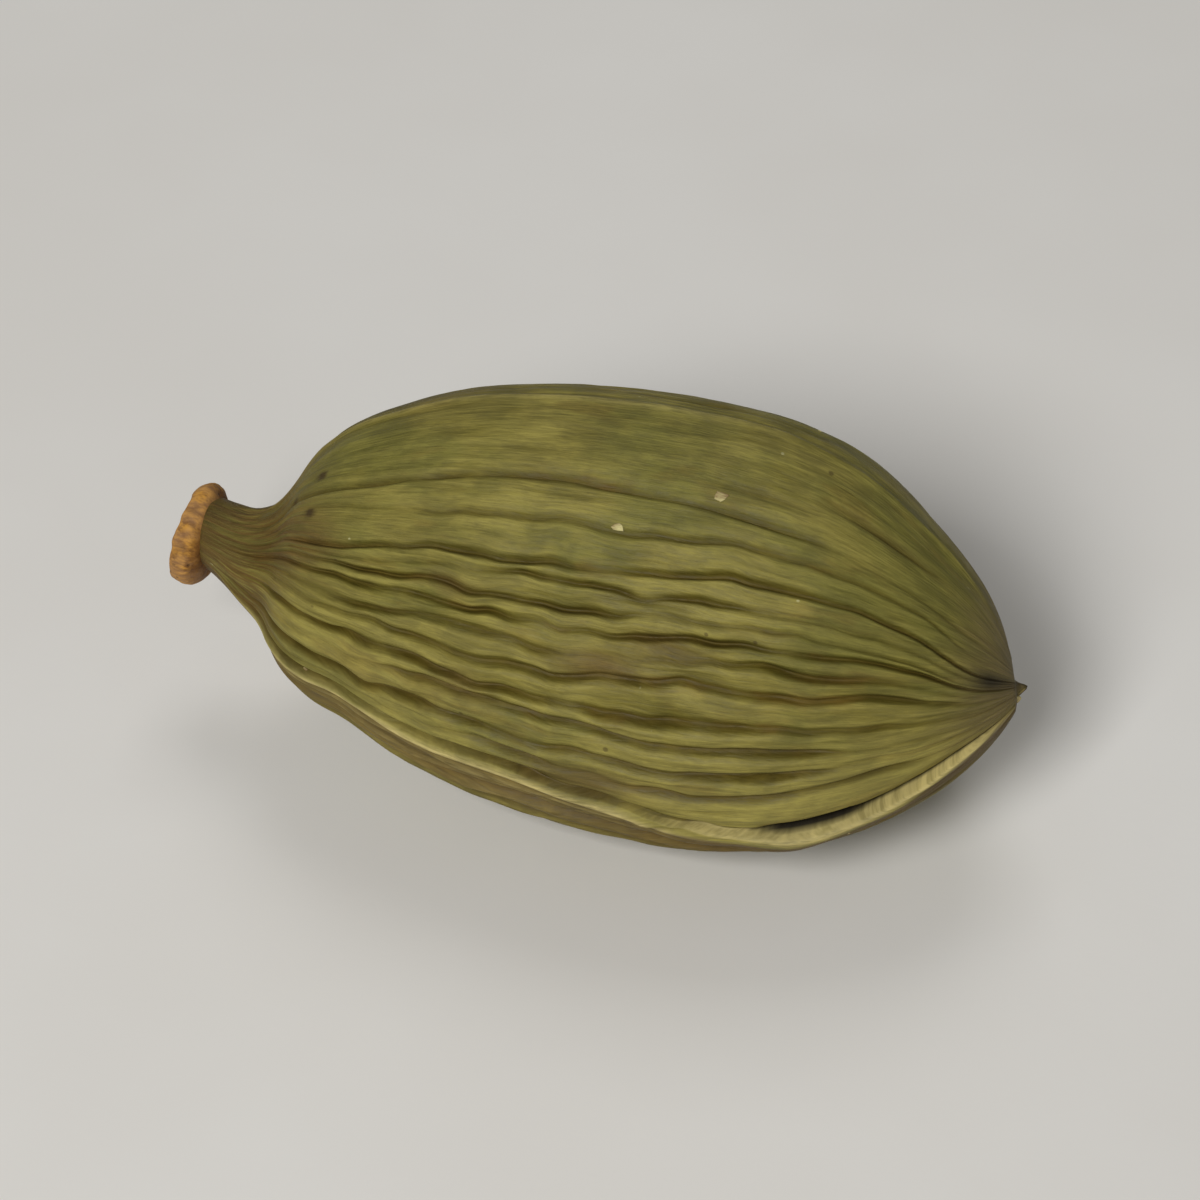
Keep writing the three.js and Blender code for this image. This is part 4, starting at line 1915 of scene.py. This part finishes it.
@dataclass
class Studio:
    """The plain pale floor, the soft lights and the camera. Distances are in metres."""

    azimuth: float = 16.0
    elevation: float = 42.0
    lens: float = 150.0
    sensor: float = 36.0
    filled_width: float = 0.74
    floor_radius: float = 0.9
    sky: Colour = (1.0, 0.98, 0.95)
    sky_strength: float = 0.13

    def build_floor(self, material: bpy.types.Material) -> bpy.types.Object:
        """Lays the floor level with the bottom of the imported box.

        Args:
            material: The floor's finish.

        Returns:
            The floor's object.
        """
        mesh = bpy.data.meshes.new("floor")
        angle = np.linspace(0.0, FULL_TURN, 96, endpoint=False)
        rim = np.stack([np.cos(angle), np.sin(angle), 0.0 * angle], axis=1) * self.floor_radius
        mesh.from_pydata(rim.tolist(), [], [list(range(len(rim)))])
        mesh.materials.append(material)
        floor = bpy.data.objects.new("floor", mesh)
        bpy.context.collection.objects.link(floor)
        return floor

    def towards(self, azimuth: float, elevation: float) -> Vector:
        """Gives the direction from the pod towards a place seen at two angles, in degrees."""
        a, e = np.radians(azimuth), np.radians(elevation)
        return Vector((np.sin(a) * np.cos(e), -np.cos(a) * np.cos(e), np.sin(e)))

    def build_camera(self) -> bpy.types.Object:
        """Sets the camera at the photograph's angle, close round the pod.

        Returns:
            The camera's object.
        """
        low, high = PACKED_BOX
        centre = (low + high) / 2
        back = self.towards(self.azimuth, self.elevation)
        shown = (high.x - low.x) / self.filled_width
        camera = bpy.data.objects.new("camera", bpy.data.cameras.new("camera"))
        camera.data.lens, camera.data.sensor_width = self.lens, self.sensor
        camera.data.clip_start, camera.data.clip_end = 0.001, 10.0
        camera.location = centre + back * (shown * self.lens / self.sensor)
        camera.rotation_mode = "QUATERNION"
        camera.rotation_quaternion = (-back).to_track_quat("-Z", "Y")
        bpy.context.collection.objects.link(camera)
        bpy.context.scene.camera = camera
        return camera

    def build_light(
        self, name: str, azimuth: float, elevation: float, distance: float, size: float, power: float
    ) -> bpy.types.Object:
        """Hangs one square soft light that faces the pod.

        Args:
            name: The light's name.
            azimuth: Where it hangs round the pod, in degrees.
            elevation: How high it hangs, in degrees.
            distance: How far away it is.
            size: The length of its side.
            power: Its power, in watts.

        Returns:
            The light's object.
        """
        data = bpy.data.lights.new(name, "AREA")
        data.shape, data.size, data.energy = "SQUARE", size, power
        light = bpy.data.objects.new(name, data)
        back = self.towards(azimuth, elevation)
        light.location = back * distance
        light.rotation_mode = "QUATERNION"
        light.rotation_quaternion = (-back).to_track_quat("-Z", "Y")
        bpy.context.collection.objects.link(light)
        return light

    def build(self, floor_material: bpy.types.Material) -> None:
        """Sets up the whole studio.

        Args:
            floor_material: The floor's finish.
        """
        self.build_floor(floor_material)
        self.build_camera()
        self.build_light("key_light", -8.0, 42.0, 0.24, 0.08, 0.39)
        self.build_light("back_light", 190.0, 60.0, 0.24, 0.12, 0.09)
        world = bpy.data.worlds.new("studio")
        world.use_nodes = True
        background = world.node_tree.nodes["Background"]
        background.inputs["Color"].default_value = (*self.sky, 1.0)
        background.inputs["Strength"].default_value = self.sky_strength
        bpy.context.scene.world = world
        bpy.context.scene.view_settings.view_transform = "Standard"


def main() -> None:
    """Builds the studio and the pod's pieces in order."""
    logging.basicConfig(level=logging.INFO, format="%(name)s: %(message)s")
    effects = Effects(DryFibres(), DryPatches(), PinSpecks())
    Studio().build(FloorFinish().make(effects))
    husk = Husk()
    seat = Seat.fitted(husk.skin())
    paper = PaperFinish().make(effects)
    husk.build(seat, HuskFinish().make(effects))
    StalkScar(husk.form).build(seat, ScarFinish().make(effects))
    DryBeak(husk.form).build(seat, paper)
    SkinFlakes().build(husk, seat, paper)
    LooseFibres().build(husk, seat, paper)


if __name__ == "__main__":
    main()
